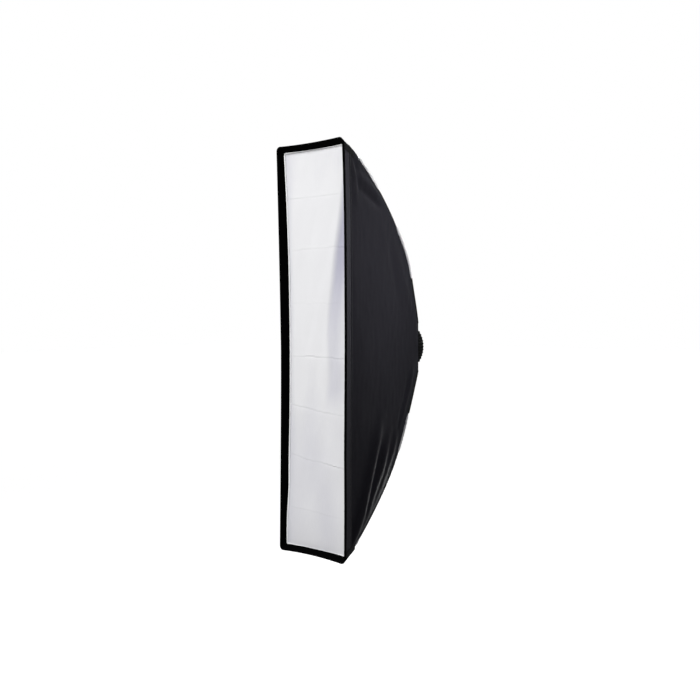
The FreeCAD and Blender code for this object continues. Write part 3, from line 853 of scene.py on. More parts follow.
def end_panel(half):
    end, up = HALVES[half]
    share = np.linspace(0, LIP_SHARE, 120)
    across = np.linspace(-1, 1, 61)
    sag = END_SAG * np.sin(np.pi * np.clip(share, 0, 1))[:, None] * (1 - across[None, :] ** 2)
    y, z = profile(share, up, inset=SEAM_INSET * seam_ease(share))
    slope = seam_angle(share)[:, None]
    depth, height = lifted(y[:, None], z[:, None], -sag, slope, up)
    x = half_width(y)[:, None] * across[None, :]
    drawn = lip_draw(-depth, height, -1)
    x = np.where(x < 0, x + drawn, x)
    relief = 0.0016 * soft_waves(x * 1.4, share[:, None] * 0.8 + 0 * x, 16, 5.2 * up)
    relief = relief * (1 - across[None, :] ** 4) * smooth(share / 0.1)[:, None]
    grid = np.stack([x, *lifted(depth, height, relief, slope, up)], 2)
    made = sheet_object(f"end_cloth_{end}", grid, (0, 1, up), "black nylon", "silver lining")
    placed(made, replaced=[f"end_panel_{end}"])
    declare_cloth(grid)


class SOFTBOX_OT_end_panels(bpy.types.Operator):
    """Add the curved top and bottom panels"""

    bl_idname = "softbox.end_panels"
    bl_label = "End Panels"

    def execute(self, context):
        for half in HALVES:
            end_panel(half)
        return {"FINISHED"}


def sleeve_grid(up, out, start, finish_share, rows=160, columns=15):
    """Points of a rounded sleeve along a corner seam, on the end panel's side."""
    share = np.linspace(start, finish_share, rows)
    turn = np.linspace(0, np.pi, columns)
    y, z = profile(share, up, inset=SEAM_INSET * seam_ease(share))
    ends = smooth((share - start) / 0.02) * smooth((finish_share - share) / 0.02) * 0.7 + 0.3
    full = SLEEVE_RISE * (0.72 + 0.42 * np.clip(seam_dip(share, up), 0, 1) / SATIN_DIP)
    lift = full[:, None] * np.sin(turn)[None, :] ** 0.8 * ends[:, None]
    uneven = soft_waves(share[:, None] * 8 + 0 * lift, turn[None, :] * 0.3 + 0 * lift, 5, out)
    lift = lift * (1 + 0.12 * uneven)
    aside = SLEEVE_HALF * (1 - np.cos(turn))[None, :] + 0.0003
    lift = np.concatenate([np.full((rows, 1), -0.007), lift], 1)
    aside = np.concatenate([[[0.0008]], aside], 1)
    x = (half_width(y)[:, None] - aside) * out
    return np.stack([x, *lifted(y[:, None], z[:, None], lift, seam_angle(share)[:, None], up)], 2)


class SOFTBOX_OT_rod_sleeves(bpy.types.Operator):
    """Add the satin sleeves that the rods run in"""

    bl_idname = "softbox.rod_sleeves"
    bl_label = "Rod Sleeves"

    def execute(self, context):
        start = share_at_height(COVER_REACH) - 0.03
        for end, up, side, out in CORNERS:
            grid = sleeve_grid(up, out, start, share_at(POCKET_BACK + 0.02))
            name = f"satin_sleeve_{end}_{side}"
            made = sheet_object(name, grid, (0, 1, up), "grey satin", thickness=0.0006)
            placed(made, [f"rod_sleeve_{end}_{side}"])
            declare_cloth(grid)
        return {"FINISHED"}


# Front lip, white front and its tapes


def front_path(up, inset, radius, steps=90, corner_steps=14, across_steps=41):
    """Points (x, z) of half the front's outline, from mid height over one end to mid height."""
    width = FRONT_HALF_WIDTH - inset
    height = FRONT_HALF_HEIGHT - inset
    rise = np.linspace(0, height - radius, steps)
    turn = np.linspace(0, np.pi / 2, corner_steps)[1:-1]
    side = np.stack([np.full(steps, width), rise], 1)
    corner = np.stack([width - radius + radius * np.cos(turn), height - radius + radius * np.sin(turn)], 1)
    across = np.linspace(width - radius, -(width - radius), across_steps)
    top = np.stack([across, np.full(across_steps, height)], 1)
    mirrored = np.concatenate([side, corner])[::-1] * np.array([-1, 1])
    path = np.concatenate([side, corner, top, mirrored])
    return path * np.array([1, up])


# How far each end of the front stands past its plain edge, and how far its middle is drawn in

END_RISE = {1: -0.0013, -1: 0.0006}
END_DRAW = {1: 1.0, -1: 1.6}


def front_ring(up, depth, inset, radius):
    """The shell's outline at a depth, as points (x, y, z) of one half."""
    share = share_at(min(depth, FRONT))
    _, z_seam = profile(share, 1)
    flat = front_path(up, inset, radius)
    narrow = half_width(-depth) - FRONT_HALF_WIDTH
    lower = abs(float(z_seam)) - FRONT_HALF_HEIGHT
    width, height = FRONT_HALF_WIDTH - inset, FRONT_HALF_HEIGHT - inset
    x = flat[:, 0] + narrow * np.clip(flat[:, 0] / (width - radius), -1, 1)
    z = flat[:, 1] + lower * up * np.clip(np.abs(flat[:, 1]) / (height - radius), 0, 1)
    left = np.clip(-x / width, 0, 1) ** 3
    x = x + left * lip_draw(depth, z, -1) - np.clip(x / width, 0, 1) ** 3 * lip_draw(depth, z, 1)
    bow = shell_settings().end_bow * END_DRAW[up]
    middle = np.clip(1 - (x / (FRONT_HALF_WIDTH - radius)) ** 2, 0, 1)
    z = z + up * (END_RISE[up] - bow * middle) * smooth((np.abs(z) - 0.5 * FRONT_HALF_HEIGHT) / 0.3)
    return np.stack([x, np.full(len(x), -depth), z], 1)


LIP_WALL = 0.0021


def lip_section():
    """The lip's cross-section as (depth, inset) from the seam, round the front edge and back in."""
    nose_start = FRONT - LIP_WALL / 2
    outer = [
        (LIP_SEAM - 0.001 + (nose_start - LIP_SEAM) * part, 0.0005 * math.sin(math.pi * part))
        for part in np.linspace(0, 1, 16)
    ]
    nose = [
        (nose_start + LIP_WALL / 2 * math.sin(turn), LIP_WALL / 2 * (1 - math.cos(turn)))
        for turn in np.linspace(0.3, math.pi - 0.3, 7)
    ]
    back = DIFFUSER_FACE - 0.016
    inner = [
        (nose_start + (back - nose_start) * part, LIP_WALL + 0.0006 * math.sin(math.pi * part))
        for part in np.linspace(0, 1, 14)
    ]
    return outer + nose + inner


def front_binding(half):
    """The tape sewn over the front edge, a little proud of the lip on both faces."""
    end, up = HALVES[half]
    radius = shell_settings().corner_radius
    reach = 0.0095
    inner_reach = FRONT - DIFFUSER_FACE + 0.013
    middle = FRONT - LIP_WALL / 2
    proud = 0.0006
    bend = LIP_WALL / 2 + proud
    outer = [(middle - reach * (1 - part), -proud * min(1, 6 * part)) for part in np.linspace(0, 1, 8)]
    nose = [
        (middle + bend * math.sin(turn), LIP_WALL / 2 - bend * math.cos(turn))
        for turn in np.linspace(0.25, math.pi - 0.25, 8)
    ]
    inner = [(middle - inner_reach * part, LIP_WALL + proud) for part in np.linspace(0, 1, 12)]
    grid = np.stack([front_ring(up, depth, inset, radius) for depth, inset in outer + nose + inner])
    made = sheet_object(f"front_binding_{half}", grid, (1, 0, 0), "black binding", thickness=0.0006)
    placed(made)


def front_lip(half):
    end, up = HALVES[half]
    radius = shell_settings().corner_radius
    grid = np.stack([front_ring(up, depth, inset, radius) for depth, inset in lip_section()])
    made = sheet_object(f"lip_cloth_{half}", grid, (1, 0, 0), "black lip cloth", thickness=0.0007)
    placed(made, replaced=[f"front_lip_{end}", "front_lip_right", "front_lip_left"])
    declare_cloth(grid)
    front_binding(half)


class SOFTBOX_OT_front_lip(bpy.types.Operator):
    """Add the deep doubled lip round the front"""

    bl_idname = "softbox.front_lip"
    bl_label = "Front Lip"

    def execute(self, context):
        for half in HALVES:
            front_lip(half)
        return {"FINISHED"}


# Pressed fold lines of the white front as (height, height at the right edge, strength)

FRONT_CREASES = (
    (0.528, 0.522, 0.5),
    (0.345, 0.35, 0.55),
    (0.163, 0.16, 0.35),
    (-0.018, -0.022, 1.0),
    (-0.185, -0.215, 0.7),
    (-0.36, -0.392, 1.0),
    (-0.545, -0.56, 0.45),
)


SLACK_AND_SHADE_SOFT = 0.03

# The slanting line of the painted shade as (height, place across, strength of the painted shade right of
# it)

SLACK_AND_SHADE_LINE = (
    (-0.22, 0.03, 0.3),
    (-0.08, 0.04, 0.42),
    (0.03, 0.038, 0.5),
    (0.18, 0.045, 0.75),
    (0.38, 0.085, 1.0),
    (0.52, 0.106, 1.0),
    (0.64, 0.128, 1.0),
)


def painted_shade_and_slack_mask(x, z):
    """Painted shade on the white cloth, which also sets where it sags back: right of a slanting line, along
    the left edge, darker towards the bottom, with uneven patches.
    """
    points = np.array(SLACK_AND_SHADE_LINE)
    held = np.clip(z, points[0, 0], points[-1, 0])
    line = curve_through(points[:, :2], held)
    strength = curve_through(points[:, [0, 2]], held)
    line = line + 0.006 * soft_waves(z, 0 * z, 7, 8.8)
    past = (x - line) / SLACK_AND_SHADE_SOFT
    mask = strength * smooth(past) * (1 - 0.35 * smooth(past - 1.6))
    mask = mask * smooth((z - points[0, 0]) / 0.1) * smooth((points[-1, 0] - z) / 0.04)
    # painted shade along the left edge, beside the lip
    left = np.exp(-(((x + FRONT_HALF_WIDTH - 0.008) / 0.03) ** 2))
    left = left * (0.35 + 0.25 * smooth((0.5 - np.abs(z - 0.1)) / 0.4))
    # painted shade, darker towards the bottom
    low = 0.18 * smooth((0.1 - z) / 0.5)
    return np.clip(mask + left + low + 0.22 * soft_waves(x * 1.2, z * 0.4, 9, 6.6), 0, 1)


def diffuser_relief(x, z, from_edge):
    """How far the white cloth stands forward: a slow belly, pressed lines, and diagonal sags that follow
    the painted shade.
    """
    settings = front_settings()
    half = FRONT_HALF_WIDTH
    belly = settings.belly * (1 - (x / half) ** 2) * (1 - (z / FRONT_HALF_HEIGHT) ** 4)
    creases = 0
    for left, right, strength in FRONT_CREASES:
        line = left + (right - left) * (x / half + 1) / 2
        line = line + 0.004 * soft_waves(x, left + 0 * x, 14, 5.9)
        gap = (z - line) / 0.006
        strength = strength * (0.75 + 0.9 * soft_waves(x, line * 3, 12, 1.7))
        creases = creases + strength * np.exp(-np.abs(gap)) * np.sign(gap) * 0.5
        creases = creases + strength * np.exp(-((z - line) / 0.05) ** 2) * 0.5
    slack_and_painted_shade = 0.003 * soft_waves(x * 1.2 + z * 0.25, z * 0.35, 7, 2.4)
    slack_and_painted_shade = slack_and_painted_shade + 0.0012 * soft_waves(x * 2 - z * 0.4, z * 0.6, 13, 9.1)
    # the cloth sags back a little where the painted shade lies
    slack_and_painted_shade = slack_and_painted_shade - 0.006 * painted_shade_and_slack_mask(x, z)
    edge = smooth(from_edge / 0.022) * smooth((FRONT_HALF_HEIGHT - np.abs(z)) / 0.03)
    return (belly + creases * settings.crease + slack_and_painted_shade) * edge


# How far the white front ends inside the front's own ends

WHITE_INSET = {1: 0.003, -1: 0.0095}

# How far the white front stands forward of its plane at each height, as (height, metres)

FRONT_LEAN = (
    (-0.7, 0.003),
    (-0.6, 0.0045),
    (-0.45, 0.0),
    (-0.25, -0.005),
    (0.0, -0.0065),
    (0.35, -0.007),
    (0.55, -0.003),
    (0.7, 0.002),
)


def inner_height(depth, across, up):
    """Height of the lip's inner face at depths near the front."""
    share = share_of(np.arcsin((-depth - CENTRE_Y) / PROFILE_RADIUS))
    bow = shell_settings().end_bow * END_DRAW[up] * (1 - across[None, :] ** 2)
    return profile(np.minimum(share, 1), 1)[1] + END_RISE[up] - bow - LIP_WALL - 0.001


def white_grid(half, rows=260, columns=110):
    """Points of half the white front, which fill the lip's inner outline."""
    _, up = HALVES[half]
    top = FRONT_HALF_HEIGHT + END_RISE[up] - WHITE_INSET[up]
    level = np.linspace(0, top, rows)
    across = np.linspace(-1, 1, columns)
    across = np.sin(across * np.pi / 2) * 0.35 + across * 0.65
    wide = half_width(-DIFFUSER_FACE)
    right = wide - 0.0055 - lip_draw(DIFFUSER_FACE, level * up, 1)
    left = wide - 0.0065 - 0.004 * np.exp(-(((level * up + 0.49) / 0.09) ** 2))
    left = left - lip_draw(DIFFUSER_FACE, level * up, -1)
    middle, reach = (right - left) / 2, (right + left) / 2
    x = middle[:, None] + reach[:, None] * across[None, :]
    bow = shell_settings().end_bow * END_DRAW[up] * (1 - across[None, :] ** 2) * (level[:, None] / top) ** 4
    z = (level[:, None] - bow) * up
    lean = curve_through(FRONT_LEAN, np.clip(z, -0.7, 0.7))
    y = -DIFFUSER_FACE - lean - diffuser_relief(x, z, reach[:, None] * (1 - np.abs(across))[None, :])
    excess = np.maximum(np.abs(z[-1:]) - inner_height(-y[-1:], across, up), 0)
    z = z - up * excess * (level[:, None] / top) ** 6
    return np.stack([x, y, z], 2)


def white_front(half):
    grid = white_grid(half)
    made = sheet_object(f"white_front_{half}", grid, (0, -1, 0), "diffusion cloth", thickness=0.0005)
    # the mask of painted shade, which the front's cloth mixes into its colour
    shade = made.data.attributes.new("slack_and_painted_shade", "FLOAT", "POINT")
    places = np.empty(len(made.data.vertices) * 3)
    made.data.vertices.foreach_get("co", places)
    places = places.reshape(-1, 3)
    shade.data.foreach_set("value", painted_shade_and_slack_mask(places[:, 0], places[:, 2]).astype(np.float32))
    placed(made, replaced=["front_diffuser"])
    declare_cloth(grid)
    hem_frame(half, grid)


def hem_edges(grid):
    """The outer and inner edge of the hem round half the white front."""
    width = front_settings().hem
    edge = np.concatenate([grid[:, -1], grid[-1, ::-1][1:], grid[::-1, 0][1:]])
    inner = edge.copy()
    count = len(grid)
    inner[:count, 0] -= width
    inner[-count:, 0] += width
    top = np.abs(edge[:, 2]).max() - width
    inner[:, 2] = np.sign(grid[-1, 0, 2]) * np.minimum(np.abs(edge[:, 2]), top)
    place = np.arange(len(edge))
    across_end = (place >= count) & (place < len(edge) - count)
    low, high = inner[len(edge) - count, 0], inner[count - 1, 0]
    inner[across_end, 0] = np.clip(edge[across_end, 0], low, high)
    return edge, inner


def hem_line(half):
    """The row of stitches near the hem's inner edge."""
    edge, inner = hem_edges(white_grid(half))
    line = edge * 0.2 + inner * 0.8
    line[:, 1] -= 0.0023
    return line


def hem_frame(half, grid):
    """The bright sewn hem round the white front, a flat rounded band on its edge."""
    edge, inner = hem_edges(grid)
    rows = []
    for part in np.linspace(0, 1, 7):
        row = edge * (1 - part) + inner * part
        row[:, 1] -= 0.0007 + 0.0016 * math.sin(math.pi * (0.1 + 0.8 * part))
        rows.append(row)
    band = np.stack(rows)
    made = sheet_object(f"front_hem_{half}", band, (0, -1, 0), "white hem", thickness=0.0005)
    placed(made, replaced=["diffuser_hem"])


class SOFTBOX_OT_white_front(bpy.types.Operator):
    """Add the white diffusion cloth with its pressed folds and hem"""

    bl_idname = "softbox.white_front"
    bl_label = "White Front"

    def execute(self, context):
        for half in HALVES:
            white_front(half)
        return {"FINISHED"}


class SOFTBOX_OT_hook_tapes(bpy.types.Operator):
    """Add the tapes inside the lip that hold the front"""

    bl_idname = "softbox.hook_tapes"
    bl_label = "Hook Tapes"

    def execute(self, context):
        for half, (end, up) in HALVES.items():
            start, turn = LIP_SEAM + 0.003, DIFFUSER_FACE - 0.013
            shares = np.linspace(0, 1, 6)
            turned = [(start + (turn - start) * part, LIP_WALL + 0.0012) for part in shares]
            turned += [(DIFFUSER_FACE - 0.0125, LIP_WALL + 0.0022 + 0.0125 * part) for part in shares]
            grid = np.stack([front_ring(up, depth, inset, 0.012) for depth, inset in turned])
            made = sheet_object(f"loop_tape_{half}", grid, (1, 0, 0), "black elastic", thickness=0.001)
            taken = [f"hook_tape_{end}", "hook_tape_right", "hook_tape_left"]
            placed(made, replaced=taken)
        return {"FINISHED"}


# Stitches, laid along paths by a node tree


def stitch_tree():
    """Short threads set along the paths of a mesh, one at each pitch."""
    tree = bpy.data.node_groups.new("Stitch Rows", "GeometryNodeTree")
    tree.interface.new_socket(name="Geometry", in_out="INPUT", socket_type="NodeSocketGeometry")
    for label, kind, default in (
        ("Pitch", "NodeSocketFloat", 0.004),
        ("Length", "NodeSocketFloat", 0.0026),
        ("Radius", "NodeSocketFloat", 0.00035),
        ("Seed", "NodeSocketInt", 7),
        ("Thread", "NodeSocketMaterial", None),
    ):
        socket = tree.interface.new_socket(name=label, in_out="INPUT", socket_type=kind)
        if default is not None:
            socket.default_value = default
    tree.interface.new_socket(name="Geometry", in_out="OUTPUT", socket_type="NodeSocketGeometry")
    inner, outer = tree.nodes.new("NodeGroupInput"), tree.nodes.new("NodeGroupOutput")
    paths = tree.nodes.new("GeometryNodeMeshToCurve")
    places = tree.nodes.new("GeometryNodeCurveToPoints")
    places.mode = "LENGTH"
    thread = tree.nodes.new("GeometryNodeMeshCylinder")
    thread.inputs["Vertices"].default_value = 6
    uneven = tree.nodes.new("FunctionNodeRandomValue")
    uneven.data_type = "FLOAT"
    laid = tree.nodes.new("GeometryNodeInstanceOnPoints")
    real = tree.nodes.new("GeometryNodeRealizeInstances")
    finished = tree.nodes.new("GeometryNodeSetMaterial")
    link = tree.links.new
    link(inner.outputs["Geometry"], paths.inputs["Mesh"])
    link(paths.outputs["Curve"], places.inputs["Curve"])
    link(inner.outputs["Pitch"], places.inputs["Length"])
    link(inner.outputs["Radius"], thread.inputs["Radius"])
    link(inner.outputs["Length"], thread.inputs["Depth"])
    link(inner.outputs["Seed"], uneven.inputs["Seed"])
    lowest, highest = [socket for socket in uneven.inputs if socket.type == "VALUE"][:2]
    lowest.default_value, highest.default_value = 0.85, 1.1
    grown = next(socket for socket in uneven.outputs if socket.type == "VALUE")
    link(places.outputs["Points"], laid.inputs["Points"])
    link(places.outputs["Rotation"], laid.inputs["Rotation"])
    link(thread.outputs["Mesh"], laid.inputs["Instance"])
    link(grown, laid.inputs["Scale"])
    link(laid.outputs["Instances"], real.inputs["Geometry"])
    link(real.outputs["Geometry"], finished.inputs["Geometry"])
    link(inner.outputs["Thread"], finished.inputs["Material"])
    link(finished.outputs["Geometry"], outer.inputs["Geometry"])
    return tree


def stitch_rows(name, paths, thread, pitch, length=0.0026, radius=0.00035):
    """One object of stitches along several paths of points."""
    points, edges = [], []
    for path in paths:
        first = len(points)
        points.extend(tuple(map(float, point)) for point in path)
        edges.extend((first + step, first + step + 1) for step in range(len(path) - 1))
    mesh = bpy.data.meshes.new(name)
    mesh.from_pydata(points, edges, [])
    made = bpy.data.objects.new(name, mesh)
    bpy.context.scene.collection.objects.link(made)
    rows = made.modifiers.new("stitches", "NODES")
    rows.node_group = bpy.data.node_groups.get("Stitch Rows") or stitch_tree()
    values = {"Pitch": pitch, "Length": length, "Radius": radius, "Seed": 7, "Thread": material(thread)}
    for socket in rows.node_group.interface.items_tree:
        if socket.in_out == "INPUT" and socket.name in values:
            rows[socket.identifier] = values[socket.name]
    return settled(made)


class SOFTBOX_OT_stitches(bpy.types.Operator):
    """Add the rows of stitches along the seams, the binding and the hem"""

    bl_idname = "softbox.stitches"
    bl_label = "Stitches"

    def execute(self, context):
        pitch = shell_settings().stitch_pitch
        radius = shell_settings().corner_radius
        for half, (end, up) in HALVES.items():
            rows = [
                front_ring(up, FRONT - 0.0098, -0.0013, radius),
                front_ring(up, LIP_SEAM + 0.0055, -0.0004, radius),
                front_ring(up, LIP_SEAM + 0.0025, -0.0003, radius),
            ]
            share = np.linspace(0.06, LIP_SHARE - 0.01, 120)
            _, seam = profile(share, up)
            for out in (1, -1):
                reach = 1 - 0.007 / np.abs(seam)
                row = side_surface(up, out, share, reach[:, None])[:, 0]
                row[:, 0] += 0.0004 * out
                rows.append(row)
                level = np.linspace(0, 0.985, 120)
                row = side_surface(up, out, np.array([LIP_SHARE - 0.008]), level[None, :])[0]
                row[:, 0] += 0.0004 * out
                rows.append(row)
            made = stitch_rows(f"seam_stitches_{half}", rows, "grey thread", pitch)
            placed(made)
            made = stitch_rows(f"hem_stitches_{half}", [hem_line(half)], "white thread", pitch * 0.8)
            placed(made)
        return {"FINISHED"}


# Inner baffle, with straps at mid height, at a level above and below it, and at its ends

STRAP_LEVEL = 0.37
STRAP_HALF = 0.007
STRAP_LAP = 0.012


class SOFTBOX_OT_inner_baffle(bpy.types.Operator):
    """Add the inner baffle and the straps that hold it"""

    bl_idname = "softbox.inner_baffle"
    bl_label = "Inner Baffle"

    def execute(self, context):
        low, high = BAFFLE
        for half, (end, up) in HALVES.items():
            level = np.linspace(0, high.z, 90)
            across = np.linspace(low.x, high.x, 40)
            x, z = np.meshgrid(across, level)
            scallop = 0.008 * (x / high.x) ** 2 * np.abs(np.sin(np.pi * z / STRAP_LEVEL))
            x = x * (1 - scallop / high.x)
            y = low.y - 0.003 * soft_waves(x * 2, z, 8, 4.4)
            grid = np.stack([x, y, z * up], 2)
            made = sheet_object(f"baffle_cloth_{half}", grid, (0, -1, 0), "baffle cloth", thickness=0.0005)
            placed(made, replaced=["inner_baffle"])
            declare_cloth(grid)
            self.straps(half, end, up)
        return {"FINISHED"}

    def straps(self, half, end, up):
        """Elastic straps from the baffle's edge to the seams of one half."""
        low, high = BAFFLE
        inside = half_width(low.y) - 0.003
        upright, sideways = np.array([0, 0, 1.0]), np.array([1.0, 0, 0])
        whole = np.linspace(-STRAP_HALF, STRAP_HALF, 5)
        halved = np.linspace(0, STRAP_HALF, 4) * up
        pieces = []
        for level, wide in ((0.0, halved), (STRAP_LEVEL, whole)):
            for out in (1, -1):
                tip = inside - float(lip_draw(-low.y, level, out))
                ends = [np.array([x * out, low.y, level * up]) for x in (high.x - STRAP_LAP, tip)]
                pieces.append((*ends, upright, wide))
        share = share_at(-low.y)
        under = SEAM_INSET + END_SAG * math.sin(math.pi * share) + 0.002
        top = abs(float(profile(share, up, inset=under)[1]))
        ends = [np.array([0, low.y, level * up]) for level in (high.z - STRAP_LAP, top)]
        pieces.append((*ends, sideways, whole))
        name = f"elastic_straps_{half}"
        parts = []
        for start, tip, way, wide in pieces:
            line = start + (tip - start) * np.linspace(0, 1, 14)[:, None] + np.array([0, -0.0012, 0])
            grid = line[:, None, :] + way * wide[None, :, None]
            piece = sheet_object(f"{name}_{len(parts)}", grid, (0, -1, 0), "black elastic")
            parts.append(piece)
        placed(merged(name, parts), replaced=["baffle_straps"])


def merged(name, parts):
    """One object of several, which are removed."""
    chosen = {"selected_editable_objects": parts, "selected_objects": parts}
    with bpy.context.temp_override(active_object=parts[0], **chosen):
        bpy.ops.object.join()
    parts[0].name = name
    return parts[0]


# Corner pockets at the rods' tips


class SOFTBOX_OT_corner_pockets(bpy.types.Operator):
    """Add the black pockets over the rods' tips"""

    bl_idname = "softbox.corner_pockets"
    bl_label = "Corner Pockets"

    def execute(self, context):
        for end, up, side, out in CORNERS:
            grid = self.pocket(up, out)
            name, outward = f"pocket_patch_{end}_{side}", (out * 0.6, 0.2, up * 0.6)
            made = sheet_object(name, grid, outward, "cover cloth", thickness=0.0008)
            placed(made, [f"corner_pocket_{end}_{side}"])
            declare_cloth(grid)
        return {"FINISHED"}

    def pocket(self, up, out):
        """Points of a patch sewn over the corner behind the lip, along the seam's last stretch."""
        depths = np.linspace(POCKET_BACK + 0.008, FRONT - 0.0125, 30)
        radius = shell_settings().corner_radius
        rows = []
        for depth in depths:
            part = (depth - depths[0]) / (depths[-1] - depths[0])
            share = share_at(depth)
            dip = float(seam_dip(share, up))
            swell = 0.0022 * math.sin(math.pi * (0.08 + 0.84 * part))
            inset = SEAM_INSET * float(seam_ease(share)) - swell - 0.0004
            forward = float(smooth((depth - POCKET_BACK) / (FRONT - POCKET_BACK)))
            rounded = 0.004 + (radius - 0.004) * forward
            reach = 0.022 - 0.004 * part
            _, height = profile(share, 1, inset=inset + min(dip, 0) * (1 - part))
            high = float(height) + END_RISE[up] * float(smooth((part - 0.6) / 0.4))
            wide = float(half_width(-depth)) + 0.0016 - float(lip_draw(depth, high * up, out))
            down = [(wide, high - rounded - reach * (1 - step)) for step in np.linspace(0, 1, 9)]
            bend = [
                (wide - rounded + rounded * math.cos(turn), high - rounded + rounded * math.sin(turn))
                for turn in np.linspace(0, math.pi / 2, 12)[1:]
            ]
            over = [(wide - rounded - reach * step, high) for step in np.linspace(0, 1, 9)[1:]]
            rows.append([(x * out, -depth, z * up) for x, z in down + bend + over])
        return np.array(rows)


# Neck: panel, collar and covers


class SOFTBOX_OT_neck(bpy.types.Operator):
    """Add the neck panel, its elastic collar and the covers over the rods' ends"""

    bl_idname = "softbox.neck"
    bl_label = "Neck"

    def execute(self, context):
        self.panel()
        self.collar()
        for half in HALVES:
            self.cover(half)
        return {"FINISHED"}

    def panel(self):
        """Cloth between the shell's back edge and the ring, gathered towards the ring."""
        turns, rings = 220, 22
        turn = np.linspace(0, 2 * np.pi, turns, endpoint=False)
        inner = RING[1].x + 0.0004
        part = np.linspace(0, 1, rings)
        cos, sin = np.cos(turn), np.sin(turn)
        reach = np.minimum(
            (NECK_HALF_WIDTH - 0.0005) / np.maximum(np.abs(cos), 1e-6),
            (NECK_HALF_HEIGHT + 0.001) / np.maximum(np.abs(sin), 1e-6),
        )
        radius = inner + (reach - inner)[None, :] * part[:, None]
        gather = 0.0012 * np.cos(turn * 44 + 0.8 * np.sin(turn * 5))[None, :] * ((1 - part) ** 1.5)[:, None]
        y = -NECK + 0.0005 + gather + 0.004 * ((1 - part) ** 2)[:, None]
        grid = np.stack([radius * cos, y + 0 * radius, radius * sin], 2)
        made = sheet_object("neck_cloth", grid, (0, 1, 0), "black nylon", "silver lining", closed=True)
        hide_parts("neck_panel")
        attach(made, "shell")
        declare_cloth(np.concatenate([grid, grid[:, :1]], 1))

    def collar(self):
        """The gathered casing that grips the ring, with an opening beside the lock knob."""
        turns = 420
        turn = np.linspace(0, 2 * np.pi, turns, endpoint=False)
        inner = RING[1].x + 0.0003
        beside = np.abs(turn - np.pi)
        opened = 1 - smooth((beside - 0.17) / 0.1)
        front = COLLAR[0].y + 0.0002
        rear = 0.0045 * (1 - opened) + (COLLAR[1].y - 0.003) * opened
        swell = 0.0165 * (1 - opened) + 0.0048 * opened
        rows = []
        for angle in np.linspace(0, 2 * np.pi, 25)[:-1]:
            facing = math.cos(angle)
            outer = max(0, facing)
            gather = 1 + 0.13 * np.cos(turn * 48 + 1.3 * np.sin(turn * 3)) * outer * (1 - opened)
            lean = 0.3 * outer * (1 - opened)
            radius = inner + swell / 2 * (1 + np.sign(facing) * abs(facing) ** 0.8) * gather
            middle, reach = (front + rear) / 2, (rear - front) / 2
            ripple = 1 - 0.04 * np.cos(turn * 48 + 0.6) ** 2
            depth = middle + reach * 0.97 * (math.sin(angle) * (1 - lean) + lean) * ripple
            rows.append(np.stack([radius * np.cos(turn), depth, radius * np.sin(turn)], 1))
        grid = np.stack(rows)
        faces = grid_faces(len(grid), turns, closed=True)
        last = (len(grid) - 1) * turns
        for column in range(turns):
            following = (column + 1) % turns
            faces.append((last + column, last + following, following, column))
        made = new_object("elastic_collar", grid.reshape(-1, 3), faces, measured_uv(grid))
        recalculate(made)
        made.data.materials.append(material("black elastic"))
        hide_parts("neck_collar")
        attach(made, "shell")

    def cover(self, half):
        """A flap over the end panel near the ring, turned down over both corner seams."""
        end, up = HALVES[half]
        share = np.linspace(0.0, share_at_height(COVER_REACH), 60)
        slope = seam_angle(share)
        y, z = profile(share, up)
        width = half_width(y)
        lift = 0.0012 + 0.001 * np.sin(share / share[-1] * np.pi)
        sag = END_SAG * np.sin(np.pi * share)
        down, bend = 0.017, 0.004
        rows = []
        for row, rise in enumerate(lift):
            edge = width[row] + 0.0013
            side_path = [(edge, -down * (1 - part) + rise * 0.3 * part) for part in np.linspace(0, 1, 6)]
            for turn in np.linspace(0, np.pi / 2, 6)[1:]:
                across = edge - bend + bend * math.cos(turn)
                side_path.append((across, rise * 0.3 + rise * 0.7 * math.sin(turn)))
            path = list(side_path)
            for part in np.linspace(0, 1, 26)[1:-1]:
                across = (edge - bend) * (1 - 2 * part)
                middle = 1 - (across / edge) ** 2
                path.append((across, rise + (0.0022 - sag[row]) * middle))
            path += [(-across, height) for across, height in side_path[::-1]]
            across, height = np.array(path).T
            rows.append(np.stack([across, *lifted(y[row], z[row], height, slope[row], up)], 1))
        grid = np.stack(rows)
        made = sheet_object(f"cover_flap_{end}", grid, (0, 1, up), "cover cloth", thickness=0.001)
        placed(made, replaced=[f"neck_cover_{end}"])
        declare_cloth(grid)


def recalculate(made):
    """Turns all of a closed mesh's faces outwards."""
    form = bmesh.new()
    form.from_mesh(made.data)
    bmesh.ops.recalc_face_normals(form, faces=form.faces)
    form.to_mesh(made.data)
    form.free()


# Finishes of the CAD pieces that stay

NODE_FINISHES = {
    "speed_ring": "cast ring",
    "bayonet_insert": "insert metal",
    "retaining_ring": "plated steel",
    "retaining_screws": "plated steel",
    "hinge_pins": "plated steel",
    "lock_stud": "plated steel",
    "lock_knob": "moulded black",
    "rod_holder": "painted holder",
    "rod_cap": "rubber cap",
    "rod": "rod steel",
}


class SOFTBOX_OT_hardware(bpy.types.Operator):
    """Give the ring, the rods and their fittings their finishes"""

    bl_idname = "softbox.hardware"
    bl_label = "Hardware"

    def execute(self, context):
        for name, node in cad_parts.items():
            if node.hide_render:
                continue
            kind = next(kind for kind in NODE_FINISHES if name == kind or name.startswith(kind + "_"))
            node.data.materials.clear()
            node.data.materials.append(material(NODE_FINISHES[kind]))
        return {"FINISHED"}


# Stage


def backdrop_rays(tree, path):
    """1 for the rays that see the backdrop: the camera's, and those in gloss and glass."""
    seen = math_node(tree, "MAXIMUM", path.outputs["Is Camera Ray"], path.outputs["Is Transmission Ray"])
    return math_node(tree, "MAXIMUM", seen, path.outputs["Is Glossy Ray"])


